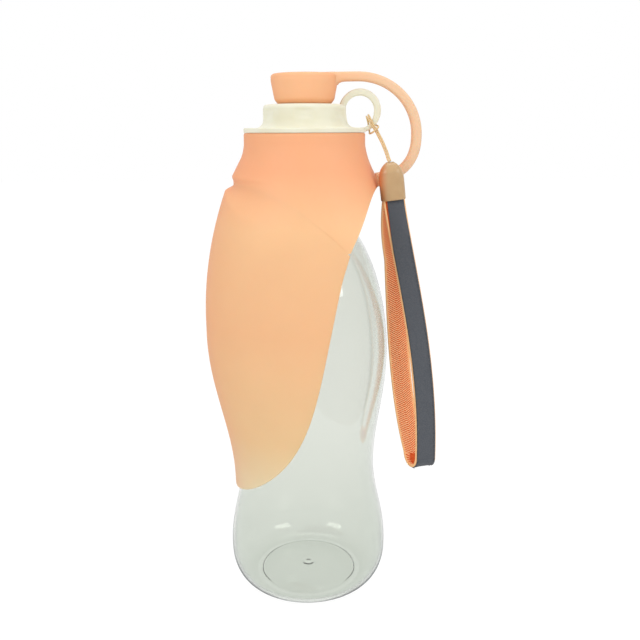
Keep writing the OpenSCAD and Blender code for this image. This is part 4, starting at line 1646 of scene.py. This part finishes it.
@dataclass(frozen=True)
class StrapLoop:
    """The wrist loop: woven webbing with a ribbon sewn on its outside."""

    bell: EndBell = EndBell()
    web_w: float = 9.6
    web_t: float = 1.1
    face_w: float = 8.6
    face_t: float = 0.5
    loop_l: float = 126.0
    tail: float = 6.5
    steps: int = 70
    front_out: float = 17.1
    front_power: float = 1.12
    back_out: float = 12.8
    back_power: float = 4.2
    back_even: float = 0.53
    back_dip: float = 1.0
    tilt_deg: float = 9.0
    pinch: float = 0.85
    pinch_h: float = 23.5
    gap_top: float = 1.15
    gap_low: float = 4.5
    shift: float = 0.1
    face_shift: float = 0.2
    weft_step: float = 1.05
    yarn_r: float = 0.27
    peak: float = 2.7
    selvage_w: float = 1.1
    selvage_proud: float = 0.08
    stitch_step: float = 2.2
    stitch_half: float = 0.8
    stitch_r: float = 0.13
    stitch_low: float = 0.16
    stitch_start: float = 24.0

    @property
    def foot(self) -> Vector:
        """The middle of the bell's lower end."""
        a = math.radians(self.bell.lean_deg)
        x, y, z = self.bell.top
        return Vector((x + self.bell.length * math.sin(a), y, z - self.bell.length * math.cos(a)))

    def leg(self, s: float, front: bool) -> Vector:
        """A point of one leg.

        Args:
            s: 0 at the bell, 1 at the loop's end.
            front: Whether it is the leg in front.

        Returns:
            The point.
        """
        foot = self.foot
        gap = mix(self.gap_top, self.gap_low, ease(s / 0.55))
        z = foot.z - s * (self.loop_l - self.gap_low)
        if front:
            out = self.front_out * math.sin(math.pi / 2 * s) ** self.front_power
            return Vector((foot.x + self.shift + out, foot.y - gap, z))
        dip = self.back_dip * math.sin(math.pi * clamp01(s / 0.22))
        out = self.back_out * mix(s ** self.back_power, s, self.back_even) - dip
        return Vector((foot.x - self.shift + out, foot.y + gap, z))

    def path(self) -> list[Vector]:
        """The strap's middle line, up to the ends inside the bell."""
        a = math.radians(self.bell.lean_deg)
        tail = Vector((-math.sin(a), 0, math.cos(a))) * self.tail
        front = [self.leg(i / self.steps, True) for i in range(self.steps + 1)]
        back = [self.leg(i / self.steps, False) for i in range(self.steps + 1)]
        middle = (front[-1] + back[-1]) / 2
        reach = front[-1].x - middle.x
        gap = self.gap_low
        turn = [middle + Vector((reach * math.cos(q), -gap * math.cos(q), -gap * math.sin(q)))
                for q in (math.radians(d) for d in range(8, 180, 8))]
        tails = [front[0] + tail * f for f in (1, 0.66, 0.33)]
        ends = [back[0] + tail * f for f in (0.33, 0.66, 1)]
        return tails + front + turn + back[::-1] + ends

    def frames(self, path: Sequence[Vector]) -> list[tuple[Vector, Vector, Vector]]:
        """Directions (along, side, outwards) at each point of the path."""
        tilt = math.radians(self.tilt_deg)
        return path_frames(path, Vector((math.cos(tilt), 0, math.sin(tilt))), carried=False)

    def band(self, name: str, width: float, thick: float, offset: float, finish: Material, power: float,
             shift: float = 0.0, pinch: float = 1.0) -> Piece:
        """A flat band along the strap's path.

        Args:
            name: The piece's name.
            width: Its width, in millimetres.
            thick: Its thickness.
            offset: How far it lies outwards from the path.
            finish: Its material.
            power: 1 for rounded edges, less for squarer ones.
            shift: How far it lies to one side.
            pinch: Share of its width that is left at the bell.

        Returns:
            The new piece.
        """
        path = self.path()
        rings = []
        for p, (_, side, out) in zip(path, self.frames(path)):
            share = mix(pinch, 1.0, ease((self.foot.z - p.z) / self.pinch_h))
            section = squared_oval(width / 2 * share, thick / 2, power, 36 if width > 2 else 12)
            right = shift + width * 0.3 * (1 - share)
            rings.append([tuple(p + side * (a + right) + out * (b + offset)) for a, b in section])
        return loft(name, rings, finish, caps=True, sharp=math.radians(70))

    def spaced(self, step: float, start: float) -> Mesh:
        """Points along the path a step apart, with their directions as attributes.

        Args:
            step: The spacing in millimetres.
            start: How far from each end the points keep, in millimetres.

        Returns:
            A mesh of loose points.
        """
        path = self.path()
        lengths = [(b - a).length for a, b in zip(path, path[1:])]
        frames = self.frames(path)
        points, sides, outs = [], [], []
        walked, target, stop = 0.0, start, sum(lengths) - start
        for i, length in enumerate(lengths):
            (_, side, out), (_, next_side, next_out) = frames[i:i + 2]
            while walked + length >= target and target <= stop:
                f = (target - walked) / length
                points.append(path[i].lerp(path[i + 1], f) * MM)
                sides.append(side.lerp(next_side, f).normalized())
                outs.append(out.lerp(next_out, f).normalized())
                target += step
            walked += length
        mesh = bpy.data.meshes.new("strap_points")
        mesh.from_pydata(points, [], [])
        for name, vectors in (("side", sides), ("out", outs)):
            layer = mesh.attributes.new(name, "FLOAT_VECTOR", "POINT")
            layer.data.foreach_set("vector", [c for v in vectors for c in v])
        return mesh

    def repeat(self, name: str, step: float, start: float,
               shape: Callable[[GeometryTree], list[Socket]], finish: Material) -> Piece:
        """Repeats a small shape along the strap with Geometry Nodes.

        Args:
            name: The piece's name.
            step: The spacing.
            start: The length left free at each end.
            shape: Builds the parts of the repeated shape: X goes across, Z outwards.
            finish: The piece's material.

        Returns:
            The new piece.
        """
        g = GeometryTree(name + "_tree")
        side, out = (g.add("GeometryNodeInputNamedAttribute", {"Name": axis}, data_type="FLOAT_VECTOR")
                     for axis in ("side", "out"))
        turn = g.add("FunctionNodeAxesToRotation", {0: side.outputs[0], 1: out.outputs[0]},
                     primary_axis="X", secondary_axis="Z")
        whole = g.add("GeometryNodeJoinGeometry")
        for part in shape(g):
            g.tree.links.new(part, whole.inputs[0])
        copies = g.add("GeometryNodeInstanceOnPoints", {
            "Points": g.source.outputs["Geometry"], "Instance": whole.outputs[0],
            "Rotation": turn.outputs[0]})
        return g.run(name, copies.outputs[0], finish, self.spaced(step, start))

    def weft(self, g: GeometryTree) -> list[Socket]:
        """One yarn of the weave on the webbing's inner face: two slanting arms that meet.

        Args:
            g: The tree that it is built in.

        Returns:
            The two arms.
        """
        half = g.size("Half Width", (self.web_w / 2 - 0.75) * MM)
        radius = g.size("Yarn Radius", self.yarn_r * MM)
        inward = g.size("Inset", -(self.web_t / 2 - 0.06) * MM)
        peak = g.size("Peak", self.peak * MM)
        top = g.point(y=peak, z=inward)
        return [g.tube(g.add("GeometryNodeCurvePrimitiveLine", {"Start": g.point(x, z=inward), "End": top}),
                       radius) for x in (g.math("MULTIPLY", half, -1.0), half)]

    def stitch(self, g: GeometryTree) -> list[Socket]:
        """A pair of stitches near the ribbon's two edges.

        Args:
            g: The tree that it is built in.

        Returns:
            The two stitches.
        """
        off = g.size("Edge Offset", (self.face_w / 2 - 0.5) * MM)
        lift = g.size("Lift", (self.web_t / 2 + self.face_t + 0.24) * MM)
        length = g.size("Stitch Length", self.stitch_half * MM)
        radius = g.size("Stitch Radius", self.stitch_r * MM)
        back = g.math("MULTIPLY", length, -1.0)
        low = g.math("SUBTRACT", lift, self.stitch_low * MM)
        parts = []
        for x in (g.math("MULTIPLY", off, -1.0), off):
            arc = g.add("GeometryNodeCurveQuadraticBezier", {
                "Resolution": 4, "Start": g.point(x, back, low), "Middle": g.point(x, z=lift),
                "End": g.point(x, length, low)})
            parts.append(g.tube(arc, radius))
        return parts

    def build(self, ground: Material, yarn: Material, selvage: Material,
              ribbon: Material, thread: Material) -> None:
        """Builds the webbing, its weave, the ribbon and its stitches.

        Args:
            ground: The webbing's darker ground.
            yarn: The yarn of its weave.
            selvage: The paler yarn along its edges.
            ribbon: The ribbon's weave.
            thread: The sewing thread.
        """
        web = self.band("loop_webbing", self.web_w - 0.2, self.web_t, 0, ground, 0.5)
        dress(web, Body.STRAP, Slot.WEBBING, "strap_webbing")
        dress(self.repeat("webbing_weft", self.weft_step, 2.0, self.weft, yarn), Body.STRAP, Slot.WEBBING)
        edge_x, edge_t = (self.web_w - self.selvage_w) / 2, self.web_t + 2 * self.selvage_proud
        for name, side in (("selvage_left", -1), ("selvage_right", 1)):
            edge = self.band(name, self.selvage_w, edge_t, 0, selvage, 0.8, side * edge_x)
            dress(edge, Body.STRAP, Slot.WEBBING)
        offset = (self.web_t + self.face_t) / 2 + 0.08
        face = self.band("loop_ribbon", self.face_w, self.face_t, offset, ribbon, 0.35,
                         self.face_shift, self.pinch)
        dress(face, Body.STRAP, Slot.FACING, "strap_facing")
        seams = self.repeat("ribbon_stitches", self.stitch_step, self.stitch_start, self.stitch, thread)
        dress(seams, Body.STRAP, Slot.FACING)


# ------------------------------------------------------------------ the studio


@dataclass(frozen=True)
class Studio:
    """Camera, floor, soft lights and a white surround.

    A lamp's row holds its name, place, width and watts.
    """

    camera_at: Point = (0.0065, -0.3409, 0.2214)
    pitch_deg: float = 14.46
    roll_deg: float = -0.24
    lens_mm: float = 41.44
    ambient: float = 0.58
    floor_half: float = 3.0
    floor_grey: float = 0.86
    floor_glow: float = 1.09
    floor_share: float = 0.86
    aim: Point = (0, 0, 0.12)
    lamps: tuple = (
        ("key_left", (-0.8, -0.75, 0.73), 0.5, 3.9),
        ("fill_right", (0.8, -0.7, 0.69), 0.5, 3.65),
        ("top", (0.0, 0.15, 1.1), 0.7, 3.0))

    def camera(self) -> None:
        """Sets the camera to the photograph's angle."""
        data = bpy.data.cameras.new("camera")
        data.lens, data.sensor_width = self.lens_mm, 36.0
        data.clip_start, data.clip_end = 0.01, 20.0
        camera = bpy.data.objects.new("camera", data)
        tilt = Matrix.Rotation(math.radians(90 - self.pitch_deg), 4, "X")
        roll = Matrix.Rotation(math.radians(self.roll_deg), 4, "Z")
        camera.matrix_world = Matrix.Translation(self.camera_at) @ (tilt @ roll)
        bpy.context.scene.collection.objects.link(camera)
        bpy.context.scene.camera = camera

    def world(self) -> None:
        """A surround that is seen as white and lights the object softly."""
        world = bpy.data.worlds.new("studio")
        bpy.context.scene.world = world
        world.use_nodes = True
        nodes = Nodes(world.node_tree)
        colour, strength = nodes.tree.nodes["Background"].inputs[:2]
        nodes.put(colour, (1, 1, 1, 1))
        nodes.put(strength, nodes.remap(nodes.seen_rays(), 0.0, 1.0, self.ambient, 1.0))

    def floor(self) -> None:
        """A pale floor that shows white and keeps the object's shadow."""
        mesh = bpy.data.meshes.new("floor")
        edge = self.floor_half
        corners = [(-edge, -edge, 0), (edge, -edge, 0), (edge, edge, 0), (-edge, edge, 0)]
        mesh.from_pydata(corners, [], [(0, 1, 2, 3)])
        s = Shader("floor_white")
        s.set(Base_Color=(*[self.floor_grey] * 3, 1), Roughness=0.8, Specular_IOR_Level=0.1)
        glow = s.add("ShaderNodeEmission", {"Color": (1, 1, 1, 1), "Strength": self.floor_glow})
        share = s.math("MULTIPLY", s.seen_rays(), self.floor_share)
        mesh.materials.append(s.end(s.over(share, s.principled.outputs[0], glow)))
        floor = bpy.data.objects.new("floor", mesh)
        bpy.context.scene.collection.objects.link(floor)

    def lamp(self, name: str, at: Point, size: float, watts: float) -> None:
        """Adds a square soft box that faces the bottle.

        Args:
            name: The lamp's name.
            at: Its place, in metres.
            size: Its width, in metres.
            watts: Its power.
        """
        data = bpy.data.lights.new(name, "AREA")
        data.shape, data.size, data.energy = "SQUARE", size, watts
        lamp = bpy.data.objects.new(name, data)
        lamp.location = at
        lamp.rotation_euler = (Vector(self.aim) - Vector(at)).to_track_quat("-Z", "Y").to_euler()
        bpy.context.scene.collection.objects.link(lamp)

    def build(self) -> None:
        """Builds the whole studio."""
        self.camera()
        self.world()
        self.floor()
        for row in self.lamps:
            self.lamp(*row)
        bpy.context.scene.view_settings.view_transform = "Standard"


def main() -> None:
    """Builds the studio and every sub-assembly."""
    logging.basicConfig(level=logging.INFO, format="%(name)s: %(message)s")
    Studio().build()

    fibre = ThreadFinish("cord_tan", linear(230, 200, 150), linear(220, 188, 138)).material()
    WristCord().build(fibre)
    paint_node("cord_knot", fibre)

    clear = ClearFinish().material()
    ivory = MouldedFinish("ivory_plastic", linear(238, 236, 216), linear(233, 229, 204), 0.42,
                          0.12).material()
    # The tan bell has a painted reflection of the orange leaf on its side towards it.
    tan = MouldedFinish("tan_plastic", linear(200, 166, 122), linear(190, 154, 110), 0.3, 0.15,
                        leaf_reflection=linear(200, 116, 70)).material()
    seal = MouldedFinish("gasket_white", linear(226, 228, 226), linear(214, 216, 214), 0.6, 0.1).material()
    silicone = SiliconeFinish().material()
    upper = SiliconeFinish("silicone_stopper", top=linear(255, 193, 146)).material()
    # The tether's painted edge-on shade (rim) is lighter than the bowl's.
    tether = SiliconeFinish("silicone_tether", high=linear(240, 182, 138), top=linear(255, 193, 146),
                            rim=linear(232, 168, 122), pale=linear(242, 204, 167),
                            pale_x=(0.006, 0.036)).material()
    ground = WebbingFinish("webbing_ground", linear(230, 112, 60), linear(184, 68, 30)).material()
    yarn = WebbingFinish("webbing_yarn", linear(255, 220, 172), linear(255, 184, 128)).material()
    selvage = WebbingFinish("webbing_selvage", linear(255, 212, 158), linear(250, 178, 118)).material()
    ribbon = RibbonFinish().material()
    thread = ThreadFinish("sewing_grey", linear(74, 78, 84), linear(56, 60, 66), 0.0005, 0.0008).material()

    Bottle().build(clear)
    paint_node("lid_gasket", seal)
    Lid().build(ivory)
    skin = Skin()
    Collar(skin).build(silicone)
    Leaf(skin).build(silicone)
    Tether().build(tether)
    Stopper().build(upper)
    EndBell().build(tan)
    StrapLoop().build(ground, yarn, selvage, ribbon, thread)


if __name__ == "__main__":
    main()
